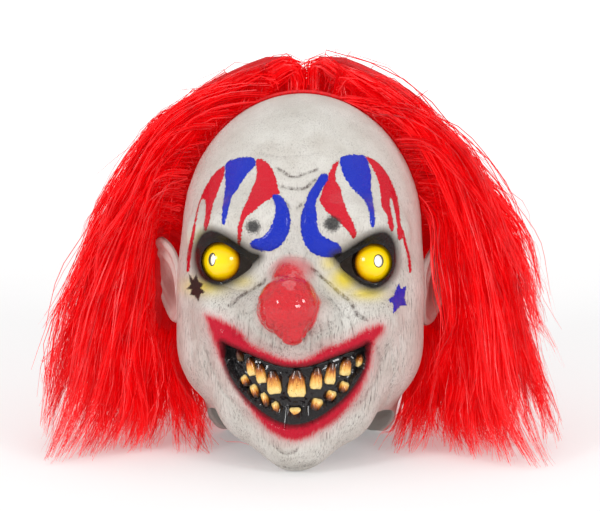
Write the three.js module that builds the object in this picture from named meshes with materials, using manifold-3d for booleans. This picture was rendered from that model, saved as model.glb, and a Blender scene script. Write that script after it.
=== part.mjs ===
// A horror clown mask of cast latex with a red wig, as it stands on a table: on its chin, the edge of
// its nape and the tips of its hair. Everything inside the head group is in the head's own frame:
// x across the face, y towards the back of the head and z up from the chin. The group leans back.
import * as THREE from "three";
import { ConvexGeometry } from "three/addons/geometries/ConvexGeometry.js";
import { mergeVertices } from "three/addons/utils/BufferGeometryUtils.js";
import Module from "manifold-3d";

const wasm = await Module();
wasm.setup();

// Driving dimensions, in millimetres and degrees
const headWidth = 185; // across the cheeks, without the ears
const headDepth = 200; // forehead to the back of the skull, without the nose
const faceHeight = 275; // chin to crown
const wall = 3; // cast latex
const headLean = 10.5; // how far the crown leans back of upright
const fitGap = 0.3; // between a seated piece and its seat
const moundBlend = 15; // how softly the moulded forms run into each other
const noseRadius = 22;
const noseReach = 9; // centre of the ball in front of the forehead
const noseHeight = 123;
const eyeRadius = 17;
const eyeSpacing = 108;
const eyeHeight = 152;
const eyeDepth = 65; // centre of the eye in front of the middle of the head
const eyeWall = 2.5;
const eyeCapAngle = 76; // from the middle of the eye to its edge inside the lids
const pupilRadius = 4.6; // the hole that the wearer looks through
const gazeOut = 24;
const gazeUp = 5;
const mouthWidth = 106;
const mouthRecess = 7; // gums behind the lips
const lipHeight = 2.5;
const lipWidth = 5;
const toothThickness = 4.2; // stands off the gums
const earHeight = 66;
const earWidth = 35;
const earThickness = 5;
const earRim = 1.6; // depth of the hollow inside the ear's rolled edge
const earFlare = 35;
const earTilt = 9;
const earBottom = 105;
const seamBack = 12; // the casting's seam is this far behind the hairline, under the wig
const wigThickness = 2.5; // the weft base that the hair is sewn to
const wigHem = 58; // height of its lower edge
const hairlineTop = 6; // its front edge, behind the middle of the head, at the crown
const hairlineSlope = 10;
const hairHalfWidth = 197; // the hair's reach on the table, from the middle
const hairHeight = 315; // above the chin, at the parting
const hairBack = 150; // the hair's reach on the table behind the middle of the head
const hairFront = 48; // and in front of it, at the sides
const lockWidth = 42;
const lockThickness = 30;
const sideLockCount = 5;
const backLockCount = 7;

const halfWidth = headWidth / 2;
const halfDepth = headDepth / 2;
const mouthHalf = mouthWidth / 2;
const radians = THREE.MathUtils.degToRad;

// The middle of the head, which every surface is seen from
const heart = new THREE.Vector3(0, -0.05 * halfDepth, 0.49 * faceHeight);

// Rounded forms that make up the head. Places and radii are shares of halfWidth, halfDepth and
// faceHeight. A form off the middle has a twin on the other side.
const mounds = [
  { form: "cranium", x: 0, y: 0.08, z: 0.636, rx: 0.965, ry: 1.0, rz: 0.372 },
  { form: "face", x: 0, y: -0.12, z: 0.47, rx: 0.995, ry: 0.84, rz: 0.31 },
  { form: "jaw", x: 0, y: -0.12, z: 0.32, rx: 0.98, ry: 0.82, rz: 0.228 },
  { form: "nape", x: 0, y: 0.24, z: 0.2, rx: 0.78, ry: 0.62, rz: 0.32 },
  { form: "muzzle", x: 0, y: -0.62, z: 0.27, rx: 0.62, ry: 0.42, rz: 0.17 },
  { form: "jaw_corner", x: 0.26, y: -0.58, z: 0.182, rx: 0.37, ry: 0.3, rz: 0.12 },
  { form: "chin", x: 0, y: -0.74, z: 0.095, rx: 0.32, ry: 0.27, rz: 0.096 },
  { form: "cheek", x: 0.5, y: -0.72, z: 0.405, rx: 0.3, ry: 0.24, rz: 0.087 },
  { form: "brow", x: 0.36, y: -0.8, z: 0.65, rx: 0.33, ry: 0.17, rz: 0.07 },
  { form: "brow_end", x: 0.68, y: -0.56, z: 0.63, rx: 0.2, ry: 0.2, rz: 0.07 },
  { form: "nose_wing", x: 0.18, y: -1.0, z: 0.415, rx: 0.13, ry: 0.14, rz: 0.04 },
];
// The bridge of the nose runs from the brow down into the ball
const bridge = {
  top: new THREE.Vector3(0, -0.9 * halfDepth, 0.585 * faceHeight),
  bottom: new THREE.Vector3(0, -halfDepth - 0.5 * noseReach, noseHeight + 4),
  topRadius: 9,
  bottomRadius: 15,
};
// The hollow round each eye, as shares like the mounds
const socket = { x: 0.56, y: -1.02, z: 0.548, rx: 0.3, ry: 0.24, rz: 0.078 };

// The mouth's edge at shares of its half width, its heights as shares of faceHeight
const mouthEdge = [
  { across: 0, top: 0.276, bottom: 0.126 },
  { across: 0.25, top: 0.282, bottom: 0.137 },
  { across: 0.5, top: 0.296, bottom: 0.178 },
  { across: 0.75, top: 0.316, bottom: 0.238 },
  { across: 0.93, top: 0.332, bottom: 0.297 },
  { across: 1, top: 0.339, bottom: 0.329 },
];
// Teeth: across is a share of the mouth's half width, root and tip of faceHeight
const teeth = [
  { name: "upper_tooth_1", across: -0.74, root: 0.322, tip: 0.29, width: 0.09, lean: 8 },
  { name: "upper_tooth_2", across: -0.587, root: 0.302, tip: 0.253, width: 0.14, lean: 10 },
  { name: "upper_tooth_3", across: -0.455, root: 0.286, tip: 0.234, width: 0.15, lean: 8 },
  { name: "upper_tooth_4", across: -0.281, root: 0.268, tip: 0.206, width: 0.2, lean: 6 },
  { name: "upper_tooth_5", across: 0.034, root: 0.27, tip: 0.199, width: 0.255, lean: 0 },
  { name: "upper_tooth_6", across: 0.298, root: 0.277, tip: 0.22, width: 0.174, lean: -3 },
  { name: "upper_tooth_7", across: 0.487, root: 0.29, tip: 0.233, width: 0.157, lean: -5 },
  { name: "upper_tooth_8", across: 0.685, root: 0.304, tip: 0.255, width: 0.174, lean: -7 },
  { name: "upper_tooth_9", across: 0.855, root: 0.312, tip: 0.278, width: 0.09, lean: -9 },
  { name: "lower_tooth_1", across: -0.664, root: 0.223, tip: 0.253, width: 0.111, lean: 24 },
  { name: "lower_tooth_2", across: -0.536, root: 0.193, tip: 0.229, width: 0.11, lean: 20 },
  { name: "lower_tooth_3", across: -0.396, root: 0.169, tip: 0.209, width: 0.1, lean: 16 },
  { name: "lower_tooth_4", across: -0.245, root: 0.15, tip: 0.184, width: 0.1, lean: 20 },
  { name: "lower_tooth_5", across: 0.01, root: 0.138, tip: 0.169, width: 0.192, lean: 0 },
  { name: "lower_tooth_6", across: 0.294, root: 0.16, tip: 0.194, width: 0.16, lean: -24 },
  { name: "lower_tooth_7", across: 0.487, root: 0.186, tip: 0.215, width: 0.14, lean: -26 },
  { name: "lower_tooth_8", across: 0.66, root: 0.208, tip: 0.238, width: 0.15, lean: -24 },
];

// How low the skin reaches towards the neck opening, by compass bearing from the nose. Where table
// is 1 it reaches down to the table instead.
const neckEdge = [
  { bearing: 0, below: 71, table: 0 },
  { bearing: 25, below: 69, table: 0 },
  { bearing: 50, below: 61, table: 0 },
  { bearing: 75, below: 55, table: 0 },
  { bearing: 105, below: 53, table: 0 },
  { bearing: 120, below: 53, table: 0 },
  { bearing: 140, below: 53, table: 1 },
  { bearing: 180, below: 53, table: 1 },
];

// The hair's outline from in front: heights as shares of hairHeight, widths of hairHalfWidth
const hairOutline = [
  { height: 1.0, width: 0.08 },
  { height: 0.97, width: 0.2 },
  { height: 0.93, width: 0.34 },
  { height: 0.885, width: 0.46 },
  { height: 0.83, width: 0.53 },
  { height: 0.78, width: 0.59 },
  { height: 0.7, width: 0.68 },
  { height: 0.62, width: 0.775 },
  { height: 0.55, width: 0.82 },
  { height: 0.43, width: 0.865 },
  { height: 0.3, width: 0.885 },
  { height: 0.165, width: 0.905 },
  { height: 0.1, width: 0.95 },
  { height: 0, width: 1.0 },
];

// Mesh fineness
const bearings = 36;
const rings = 21;
const frontCrowding = 0.45; // how much closer together the bearings are in front than behind
const ringCrowding = 0.8; // under 1, the rings are closer together below than at the crown
const seatSegments = 16;
const eyeSegments = 14;
const earSegments = 12;
const hollowSegments = 8;
const lidSegments = 18;
const eyeArcs = 3;
const lockStations = 5;
const lockSides = 6;
const hairTolerance = 0.1; // how far cut edges may move when slivers are merged
const castingTolerance = 0.05;

function lerp(a, b, t) {
  return a + (b - a) * t;
}

// Reads a table column at a place between its rows
function readTable(rows, key, at, column) {
  const falling = rows[0][key] > rows[rows.length - 1][key];
  const ordered = falling ? [...rows].reverse() : rows;
  const place = THREE.MathUtils.clamp(at, ordered[0][key], ordered[ordered.length - 1][key]);
  const next = Math.max(1, ordered.findIndex((row) => row[key] >= place));
  const [low, high] = [ordered[next - 1], ordered[next]];
  return lerp(low[column], high[column], (place - low[key]) / (high[key] - low[key]));
}

// Geometry to solid and back
function solidOf(geometry) {
  const bare = geometry.index ? geometry.toNonIndexed() : geometry.clone();
  for (const name of Object.keys(bare.attributes)) {
    if (name !== "position") bare.deleteAttribute(name);
  }
  const merged = mergeVertices(bare, 1e-4);
  return new wasm.Manifold(
    new wasm.Mesh({
      numProp: 3,
      vertProperties: new Float32Array(merged.attributes.position.array),
      triVerts: new Uint32Array(merged.index.array),
    }),
  );
}

function geometryOf(solid) {
  const mesh = solid.getMesh();
  const geometry = new THREE.BufferGeometry();
  geometry.setAttribute("position", new THREE.BufferAttribute(mesh.vertProperties, 3));
  geometry.setIndex(new THREE.BufferAttribute(mesh.triVerts, 1));
  geometry.computeVertexNormals();
  return geometry;
}

function indexedGeometry(points, faces) {
  const geometry = new THREE.BufferGeometry();
  const numbers = points.flatMap((p) => [p.x, p.y, p.z]);
  geometry.setAttribute("position", new THREE.Float32BufferAttribute(numbers, 3));
  geometry.setIndex(faces.flat());
  return geometry;
}

function largestPiece(solid) {
  return solid.decompose().sort((a, b) => b.volume() - a.volume())[0];
}

// Distance fields of the moulded head
function ellipsoidDistance(x, y, z, rx, ry, rz) {
  const near = Math.hypot(x / rx, y / ry, z / rz);
  const slope = Math.hypot(x / (rx * rx), y / (ry * ry), z / (rz * rz));
  return slope < 1e-9 ? -Math.min(rx, ry, rz) : (near * (near - 1)) / slope;
}

function softMin(a, b, blend) {
  const overlap = Math.max(blend - Math.abs(a - b), 0) / blend;
  return Math.min(a, b) - (overlap * overlap * blend) / 4;
}

const bridgeLine = new THREE.Line3(bridge.top, bridge.bottom);
const onBridge = new THREE.Vector3();
function bridgeDistance(point) {
  const along = bridgeLine.closestPointToPointParameter(point, true);
  bridgeLine.at(along, onBridge);
  return onBridge.distanceTo(point) - lerp(bridge.topRadius, bridge.bottomRadius, along);
}

const eyeCentre = new THREE.Vector3(eyeSpacing / 2, -eyeDepth, eyeHeight);
const lidRadius = eyeRadius + fitGap + wall;

// Signed distance from the head without its lips
function headDistance(point) {
  const across = Math.abs(point.x);
  let distance = Infinity;
  for (const m of mounds) {
    const d = ellipsoidDistance(
      across - m.x * halfWidth,
      point.y - m.y * halfDepth,
      point.z - m.z * faceHeight,
      m.rx * halfWidth,
      m.ry * halfDepth,
      m.rz * faceHeight,
    );
    distance = distance === Infinity ? d : softMin(distance, d, moundBlend);
  }
  distance = softMin(distance, bridgeDistance(point), moundBlend / 2);
  const hollow = ellipsoidDistance(
    across - socket.x * halfWidth,
    point.y - socket.y * halfDepth,
    point.z - socket.z * faceHeight,
    socket.rx * halfWidth,
    socket.ry * halfDepth,
    socket.rz * faceHeight,
  );
  distance = -softMin(-distance, hollow, moundBlend / 2);
  const lid = Math.hypot(across - eyeCentre.x, point.y - eyeCentre.y, point.z - eyeCentre.z) - lidRadius;
  return softMin(distance, lid, moundBlend / 4);
}

// The mouth's outline, and how far a point in the front view lies outside it
const topCurve = [];
const bottomCurve = [];
for (const row of mouthEdge) {
  topCurve.push(new THREE.Vector2(row.across * mouthHalf, row.top * faceHeight));
  bottomCurve.push(new THREE.Vector2(row.across * mouthHalf, row.bottom * faceHeight));
}
function mirrored(points) {
  return [...points].reverse().map((p) => new THREE.Vector2(-p.x, p.y));
}
const mouthTop = [...mirrored(topCurve), ...topCurve.slice(1)];
const mouthBottom = [...mirrored(bottomCurve), ...bottomCurve.slice(1)];
const mouthOutline = [...mouthTop, ...mouthBottom.reverse()];

function mouthDistance(x, z) {
  let nearest = Infinity;
  let inside = false;
  mouthOutline.forEach((a, i) => {
    const b = mouthOutline[(i + 1) % mouthOutline.length];
    const [ex, ez] = [b.x - a.x, b.y - a.y];
    const along = ((x - a.x) * ex + (z - a.y) * ez) / (ex * ex + ez * ez || 1);
    const t = THREE.MathUtils.clamp(along, 0, 1);
    nearest = Math.min(nearest, Math.hypot(x - a.x - t * ex, z - a.y - t * ez));
    if (a.y > z !== b.y > z && x < a.x + (ex * (z - a.y)) / ez) inside = !inside;
  });
  return inside ? -nearest : nearest;
}

function skinDistance(point) {
  const distance = headDistance(point);
  if (point.y > heart.y) return distance;
  const fromLip = (mouthDistance(point.x, point.z) - lipWidth) / lipWidth;
  return distance - lipHeight * Math.exp(-fromLip * fromLip);
}

// A point on the skin, or on a surface at a level outside or inside it, along a bearing and a rise
function direction(bearing, rise) {
  const [b, r] = [radians(bearing), radians(rise)];
  return new THREE.Vector3(Math.sin(b) * Math.cos(r), -Math.cos(b) * Math.cos(r), Math.sin(r));
}

function surfacePoint(bearing, rise, level, field) {
  return surfaceAlong(direction(bearing, rise), level, field);
}

function surfaceAlong(way, level, field) {
  const stepShare = 0.7;
  const mostSteps = 90;
  const point = new THREE.Vector3();
  let reach = faceHeight;
  for (let i = 0; i < mostSteps; i++) {
    point.copy(heart).addScaledVector(way, reach);
    const off = field(point) - level;
    if (Math.abs(off) < 1e-3) break;
    reach -= off * stepShare;
  }
  return point;
}

// How the head stands: it leans back, and its chin is on the table
const lean = new THREE.Matrix4().makeRotationX(-radians(headLean));
const chin = { widestBearing: 40, highestRise: -40, bearingStep: 2, riseStep: 1 };
let lowest = Infinity;
for (let bearing = 0; bearing <= chin.widestBearing; bearing += chin.bearingStep) {
  for (let rise = -neckEdge[0].below; rise <= chin.highestRise; rise += chin.riseStep) {
    const p = surfacePoint(bearing, rise, 0, skinDistance).applyMatrix4(lean);
    lowest = Math.min(lowest, p.z);
  }
}
const stand = new THREE.Matrix4().makeTranslation(0, 0, -lowest).multiply(lean);
const unstand = stand.clone().invert();

function heightOverTable(point) {
  return point.clone().applyMatrix4(stand).z;
}

// The rise at which a surface ends at the neck opening. Behind, it ends on the table.
function edgeRise(bearing, level, field) {
  const turn = Math.abs(bearing);
  const given = -readTable(neckEdge, "bearing", turn, "below");
  const share = readTable(neckEdge, "bearing", turn, "table");
  if (share === 0) return given;
  const halvings = 30;
  let [high, low] = [0, -80];
  for (let i = 0; i < halvings; i++) {
    const middle = (high + low) / 2;
    if (heightOverTable(surfacePoint(bearing, middle, level, field)) > 0) high = middle;
    else low = middle;
  }
  return lerp(given, (high + low) / 2, share);
}

// Rows of surface points from the crown to the neck opening, denser over the face
function surfaceRows(level, field) {
  const rows = [];
  const edges = [];
  const turns = [];
  for (let j = 0; j < bearings; j++) {
    const u = (2 * j) / bearings - 1;
    turns.push(180 * lerp(u, u ** 3, frontCrowding));
    edges.push(edgeRise(turns[j], level, field));
  }
  for (let i = 1; i <= rings; i++) {
    const share = (i / rings) ** ringCrowding;
    rows.push(turns.map((turn, j) => surfacePoint(turn, lerp(90, edges[j], share), level, field)));
  }
  return { crown: surfacePoint(0, 90, level, field), rows };
}

// Triangles of a surface, facing out: the crown's fan and then the rings
function surfaceFaces(first) {
  const faces = [];
  const at = (i, j) => first + 1 + i * bearings + (j % bearings);
  for (let j = 0; j < bearings; j++) {
    faces.push([first, at(0, j), at(0, j + 1)]);
    for (let i = 0; i < rings - 1; i++) {
      faces.push([at(i, j), at(i + 1, j), at(i + 1, j + 1)]);
      faces.push([at(i, j), at(i + 1, j + 1), at(i, j + 1)]);
    }
  }
  return faces;
}

// The whole head as a filled solid at a level
function filledHead(level, field) {
  const { crown, rows } = surfaceRows(level, field);
  const points = [crown, ...rows.flat()];
  const faces = surfaceFaces(0);
  const edge = rows[rings - 1];
  const middle = new THREE.Vector3();
  edge.forEach((p) => middle.addScaledVector(p, 1 / bearings));
  points.push(middle);
  const start = 1 + (rings - 1) * bearings;
  for (let j = 0; j < bearings; j++) {
    faces.push([points.length - 1, start + ((j + 1) % bearings), start + j]);
  }
  return solidOf(indexedGeometry(points, faces));
}

// The skin: an outer and an inner surface joined by the cut edge of the neck opening
function hollowSkin() {
  const outer = surfaceRows(0, skinDistance);
  const inner = surfaceRows(-wall, skinDistance);
  const points = [outer.crown, ...outer.rows.flat(), inner.crown, ...inner.rows.flat()];
  const second = 1 + rings * bearings;
  const faces = surfaceFaces(0);
  for (const [a, b, c] of surfaceFaces(second)) faces.push([a, c, b]);
  const outerEdge = 1 + (rings - 1) * bearings;
  const innerEdge = second + outerEdge;
  for (let j = 0; j < bearings; j++) {
    const k = (j + 1) % bearings;
    faces.push([outerEdge + j, innerEdge + j, innerEdge + k]);
    faces.push([outerEdge + j, innerEdge + k, outerEdge + k]);
  }
  return solidOf(indexedGeometry(points, faces));
}

// A front-view outline as a prism that runs from the middle of the head forwards
function forwardPrism(outline, reach) {
  const shape = new THREE.Shape(outline);
  const geometry = new THREE.ExtrudeGeometry(shape, { depth: reach, bevelEnabled: false });
  geometry.rotateX(Math.PI / 2);
  return solidOf(geometry);
}

function grownOutline(outline, growth) {
  return outline.map((p, i) => {
    const before = outline[(i + outline.length - 1) % outline.length];
    const after = outline[(i + 1) % outline.length];
    const edge = after.clone().sub(before).normalize();
    return new THREE.Vector2(p.x - edge.y * growth, p.y + edge.x * growth);
  });
}

const prismReach = halfDepth + noseReach + 2 * noseRadius;

// Ball nose: a hollow ball at the end of the bridge
function ball(centre, radius, across = 14, down = 8) {
  const geometry = new THREE.SphereGeometry(radius, across, down);
  geometry.rotateX(Math.PI / 2);
  geometry.translate(centre.x, centre.y, centre.z);
  return solidOf(geometry);
}
const noseCentre = new THREE.Vector3(0, -halfDepth - noseReach, noseHeight);

// Ear: a rolled-edge shell, pointed at the top, that stands off behind the cheek
const earOutline = [
  { back: 0, up: 0.28 },
  { back: -0.1, up: 0.6 },
  { back: 0.08, up: 0.84 },
  { back: 0.55, up: 0.98 },
  { back: 0.92, up: 0.9 },
  { back: 1.0, up: 0.66 },
  { back: 0.82, up: 0.42 },
  { back: 0.6, up: 0.16 },
  { back: 0.34, up: 0.0 },
  { back: 0.1, up: 0.06 },
];

const earMiddle = { back: 0.5, up: 0.52 };
const earHollowShare = 0.7; // of the leaf, inside its rolled edge
const earSet = new THREE.Vector3(1, 0.04, 0); // way from the middle of the head to the ear's root

// A flat piece of the ear's leaf, from its back face to its front face
function earPlate(outline, samples, from, thickness) {
  const edge = new THREE.SplineCurve([...outline, outline[0]]).getPoints(samples);
  const shape = new THREE.Shape(edge);
  const geometry = new THREE.ExtrudeGeometry(shape, { depth: thickness, bevelEnabled: false });
  geometry.translate(0, 0, from);
  return geometry;
}

// With a clearance it is the filled space round the ear that the hair keeps out of
function earSolid(side, clearance = 0) {
  const leaf = earOutline.map((p) => new THREE.Vector2(p.back * earWidth, p.up * earHeight));
  const points = grownOutline(leaf, clearance);
  const middle = new THREE.Vector2(earMiddle.back * earWidth, earMiddle.up * earHeight);
  const hollow = points.map((p) => p.clone().sub(middle).multiplyScalar(earHollowShare).add(middle));
  const body = earPlate(points, earSegments, -clearance, earThickness + 2 * clearance);
  const scoop = earPlate(hollow, hollowSegments, earThickness - earRim, earThickness);
  // Local x runs back along the ear, y up it and z out of its hollow face
  const back = new THREE.Vector3(Math.sin(radians(earFlare)), Math.cos(radians(earFlare)), 0);
  const up = new THREE.Vector3(Math.sin(radians(earTilt)), 0, Math.cos(radians(earTilt)));
  const out = new THREE.Vector3().crossVectors(back, up).normalize();
  up.crossVectors(out, back);
  const root = surfaceAlong(earSet, 0, headDistance);
  const place = new THREE.Matrix4().makeBasis(back, up, out);
  place.setPosition(root.x - earThickness, root.y, earBottom);
  body.applyMatrix4(place);
  scoop.applyMatrix4(place);
  const filled = solidOf(body);
  const ear = clearance > 0 ? filled : filled.subtract(solidOf(scoop));
  return side > 0 ? ear : ear.mirror([1, 0, 0]);
}

// The lid opening: round outside, drawn to a point towards the nose and cut slanting above
const lidOutline = [
  { out: -1.3, up: -0.1 },
  { out: -0.7, up: -0.66 },
  { out: -0.05, up: -0.88 },
  { out: 0.55, up: -0.72 },
  { out: 0.9, up: -0.2 },
  { out: 0.86, up: 0.35 },
  { out: 0.5, up: 0.76 },
  { out: 0, up: 0.8 },
  { out: -0.65, up: 0.42 },
];

function lidPrism(side) {
  const points = lidOutline.map(
    (p) => new THREE.Vector2(side * (eyeCentre.x + p.out * eyeRadius), eyeCentre.z + p.up * eyeRadius),
  );
  if (side < 0) points.reverse();
  const smooth = new THREE.SplineCurve([...points, points[0]]).getPoints(lidSegments).slice(0, -1);
  const shape = new THREE.Shape(smooth);
  const geometry = new THREE.ExtrudeGeometry(shape, { depth: prismReach, bevelEnabled: false });
  geometry.rotateX(Math.PI / 2);
  geometry.translate(0, eyeCentre.y, 0);
  return solidOf(geometry);
}

// The eye: a hollow dome with the pupil's hole at its pole
function eyeGeometry() {
  const profile = [];
  const holeAngle = Math.asin(pupilRadius / eyeRadius);
  const edge = radians(eyeCapAngle);
  for (let i = 0; i <= eyeArcs; i++) {
    const a = lerp(holeAngle, edge, i / eyeArcs);
    profile.push(new THREE.Vector2(eyeRadius * Math.sin(a), eyeRadius * Math.cos(a)));
  }
  const inside = eyeRadius - eyeWall;
  const innerHole = Math.asin(pupilRadius / inside);
  for (let i = eyeArcs; i >= 0; i--) {
    const a = lerp(innerHole, edge, i / eyeArcs);
    profile.push(new THREE.Vector2(inside * Math.sin(a), inside * Math.cos(a)));
  }
  profile.push(profile[0].clone());
  return new THREE.LatheGeometry(profile.reverse(), eyeSegments);
}

// A tooth's half width by its height, as shares of its size: root first, biting edge last
const toothOutline = [
  { across: 0.3, up: 0.5 },
  { across: 0.9, up: -0.12 },
  { across: 1, up: -0.36 },
  { across: 0.72, up: -0.5 },
];
const lowerRootShare = 0.55; // the lower teeth are wider at the root
const toothRounding = 1.5;

// A tooth in its own frame: root at the top, biting edge at the bottom, front towards +z
function toothSolid(tooth, gums, insideLips) {
  const length = (tooth.root - tooth.tip) * faceHeight;
  const width = tooth.width * mouthHalf;
  const upper = length > 0;
  const tall = Math.abs(length);
  const rounding = Math.min(0.2 * width, toothRounding);
  const layers = [
    { inset: 0, out: -mouthRecess / 2 },
    { inset: 0, out: toothThickness - rounding },
    { inset: rounding, out: toothThickness },
  ];
  const corners = [];
  for (const layer of layers) {
    for (const row of toothOutline) {
      const share = row === toothOutline[0] && !upper ? lowerRootShare : row.across;
      const x = share * (width / 2 - layer.inset);
      const y = row.up * (tall - 2 * layer.inset);
      corners.push(new THREE.Vector3(x, y, layer.out), new THREE.Vector3(-x, y, layer.out));
    }
  }
  const geometry = new ConvexGeometry(corners);
  if (!upper) geometry.rotateZ(Math.PI);
  geometry.rotateZ(radians(tooth.lean));
  // Seat it on the gums at its middle height, facing as the gums do there
  const x = tooth.across * mouthHalf;
  const z = ((tooth.root + tooth.tip) / 2) * faceHeight;
  const seat = gumPoint(x, z);
  const ahead = gumPoint(x + 1, z).sub(gumPoint(x - 1, z)).normalize();
  const out = new THREE.Vector3(ahead.y, -ahead.x, 0).normalize();
  const side = new THREE.Vector3(-out.y, out.x, 0);
  const place = new THREE.Matrix4().makeBasis(side, new THREE.Vector3(0, 0, 1), out);
  place.setPosition(seat);
  geometry.applyMatrix4(place);
  return largestPiece(solidOf(geometry).subtract(gums).intersect(insideLips));
}

// The point of the gums behind a place in the front view
function gumPoint(x, z) {
  const steps = 60;
  const stepShare = 0.7;
  const point = new THREE.Vector3(x, -halfDepth - noseReach, z);
  for (let i = 0; i < steps; i++) point.y += stepShare * (headDistance(point) + mouthRecess);
  return point;
}

// Hair. A lock runs along a smooth curve and has flat oval sections that taper to its tip.
const lockFull = 0.3; // share of its length at which it is widest
const lockRootShare = 0.65;
const lockTipShare = 0.22;
const lockTaper = 1.6; // over 1, a lock keeps its width until near its tip
function fade(t) {
  return (t - lockFull) / (1 - lockFull);
}

function lockSolid(points, width, thickness) {
  const curve = new THREE.CatmullRomCurve3(points, false, "centripetal");
  const corners = [];
  for (let i = 0; i <= lockStations; i++) {
    const t = i / lockStations;
    const at = curve.getPointAt(t);
    const along = curve.getTangentAt(t);
    const outward = new THREE.Vector3(at.x, at.y - heart.y, 0.35 * (at.z - heart.z)).normalize();
    const across = new THREE.Vector3().crossVectors(along, outward).normalize();
    const out = new THREE.Vector3().crossVectors(across, along).normalize();
    const growing = lerp(lockRootShare, 1, t / lockFull);
    const swell = t < lockFull ? growing : lerp(1, lockTipShare, fade(t) ** lockTaper);
    for (let k = 0; k < lockSides; k++) {
      const a = (2 * Math.PI * k) / lockSides;
      const p = at.clone();
      p.addScaledVector(across, (Math.cos(a) * width * swell) / 2);
      p.addScaledVector(out, (Math.sin(a) * thickness * swell) / 2);
      corners.push(p);
    }
  }
  const faces = [];
  const at = (i, k) => i * lockSides + (k % lockSides);
  for (let k = 0; k < lockSides; k++) {
    for (let i = 0; i < lockStations; i++) {
      faces.push([at(i, k), at(i, k + 1), at(i + 1, k + 1)]);
      faces.push([at(i, k), at(i + 1, k + 1), at(i + 1, k)]);
    }
    if (k > 0 && k < lockSides - 1) {
      faces.push([at(0, 0), at(0, k + 1), at(0, k)]);
      faces.push([at(lockStations, 0), at(lockStations, k), at(lockStations, k + 1)]);
    }
  }
  const solid = solidOf(indexedGeometry(corners, faces));
  if (solid.volume() > 0) return solid;
  const turned = faces.map(([a, b, c]) => [a, c, b]);
  return solidOf(indexedGeometry(corners, turned));
}

// Half the hair's width from in front at a height above the chin
function hairWidthAt(z) {
  return hairHalfWidth * readTable(hairOutline, "height", z / hairHeight, "width");
}

function onTable(x, y, height) {
  return new THREE.Vector3(x, y, height).applyMatrix4(unstand);
}

// The side curtains: two layers of locks, of which the front one stands further out
const curtain = {
  firstRoot: 5, // degrees down from the crown, where the outermost lock starts
  lastRoot: 84,
  falls: [0, 0.1, 0.24, 0.42, 0.64, 0.84], // shares of the way down, where a lock is guided
  innerTip: 0.58, // share of hairHalfWidth at which the innermost lock ends
  layers: [
    { setBack: 0.24, inset: 1, tipBack: 0 },
    { setBack: 0.62, inset: 0.88, tipBack: hairFront },
  ],
};
const tipLift = 2; // a lock's tip lies this far over the table

// A lock of a curtain. Share 0 is the outermost, from the parting, and 1 the innermost, from behind
// the ear.
function sideLock(side, share, layer) {
  const { setBack, inset, tipBack } = curtain.layers[layer];
  const fromTop = radians(lerp(curtain.firstRoot, curtain.lastRoot, share ** 0.85));
  const way = new THREE.Vector3(side * Math.sin(fromTop), setBack, Math.cos(fromTop)).normalize();
  const root = surfaceAlong(way, wigThickness / 2, headDistance);
  const half = lockThickness / 2;
  const tipX = side * lerp(1, curtain.innerTip, share) * (hairHalfWidth - tipLift) * inset;
  const tip = onTable(tipX, lerp(-hairFront, 0, share) + tipBack, tipLift);
  const overRoot = root.z + 0.4 * lockThickness;
  const top = lerp(hairHeight - half, overRoot, Math.min(1, share * 1.6));
  const points = [root];
  for (const fall of curtain.falls) {
    const z = lerp(top, tip.z, fall);
    const wide = hairWidthAt(z) - half;
    const beside = lerp(Math.abs(root.x), halfWidth, Math.min(1, fall * 3)) + half;
    const x = side * lerp(wide, Math.min(wide, beside), share) * inset;
    points.push(new THREE.Vector3(x, lerp(root.y, tip.y, fall), z));
  }
  points.push(tip);
  return lockSolid(points, lockWidth, lockThickness);
}

// The locks of the back fall in two tiers from the weft base to the table behind
const mane = {
  firstBearing: 108,
  lastBearing: 252,
  falls: [0.15, 0.4, 0.7],
  sideReach: 0.8, // share of hairHalfWidth
  tipIn: 0.27, // share of lockThickness
  width: 1.5, // shares of lockWidth and lockThickness
  thickness: 0.8,
  high: { rootRise: 50, reach: 1, lift: 0.6 },
  low: { rootRise: 14, reach: 0.86, lift: 0 },
};

function backLock(share, tier) {
  const bearing = lerp(mane.firstBearing, mane.lastBearing, share);
  const root = surfaceAlong(direction(bearing, tier.rootRise), wigThickness / 2, headDistance);
  const way = new THREE.Vector3(root.x, root.y, 0).normalize();
  const behind = Math.abs(Math.cos(radians(bearing)));
  const reach = lerp(hairHalfWidth * mane.sideReach, hairBack, behind) * tier.reach;
  const tip = onTable(way.x * reach, way.y * reach - mane.tipIn * lockThickness, tipLift);
  const points = [root];
  for (const fall of mane.falls) {
    const p = root.clone().lerp(tip, fall);
    p.addScaledVector(way, lockThickness * (0.5 + 0.7 * Math.sin(Math.PI * fall)));
    p.z += lockThickness * tier.lift * (1 - fall);
    points.push(p);
  }
  points.push(tip);
  return lockSolid(points, lockWidth * mane.width, lockThickness * mane.thickness);
}

// The tuft that stands up at the parting and falls to both sides: across is a share of halfWidth,
// back from the root and down from the top of the hair are shares of lockThickness
const tuftGuide = [
  { across: 0.2, back: -0.2, down: 0.3 },
  { across: 0.55, back: -0.13, down: 0.6 },
  { across: 0.95, back: 0.13, down: 1.3 },
];

function tuftLock(side) {
  const way = new THREE.Vector3(0.03 * side, 0.3, 1).normalize();
  const root = surfaceAlong(way, wigThickness / 2, headDistance);
  const above = new THREE.Vector3(0, -0.07 * lockThickness, 0.5 * lockThickness).add(root);
  const points = [root, above];
  for (const { across, back, down } of tuftGuide) {
    const z = hairHeight - down * lockThickness;
    points.push(new THREE.Vector3(side * across * halfWidth, root.y + back * lockThickness, z));
  }
  return lockSolid(points, lockWidth * 0.8, lockThickness * 0.6);
}

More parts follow.
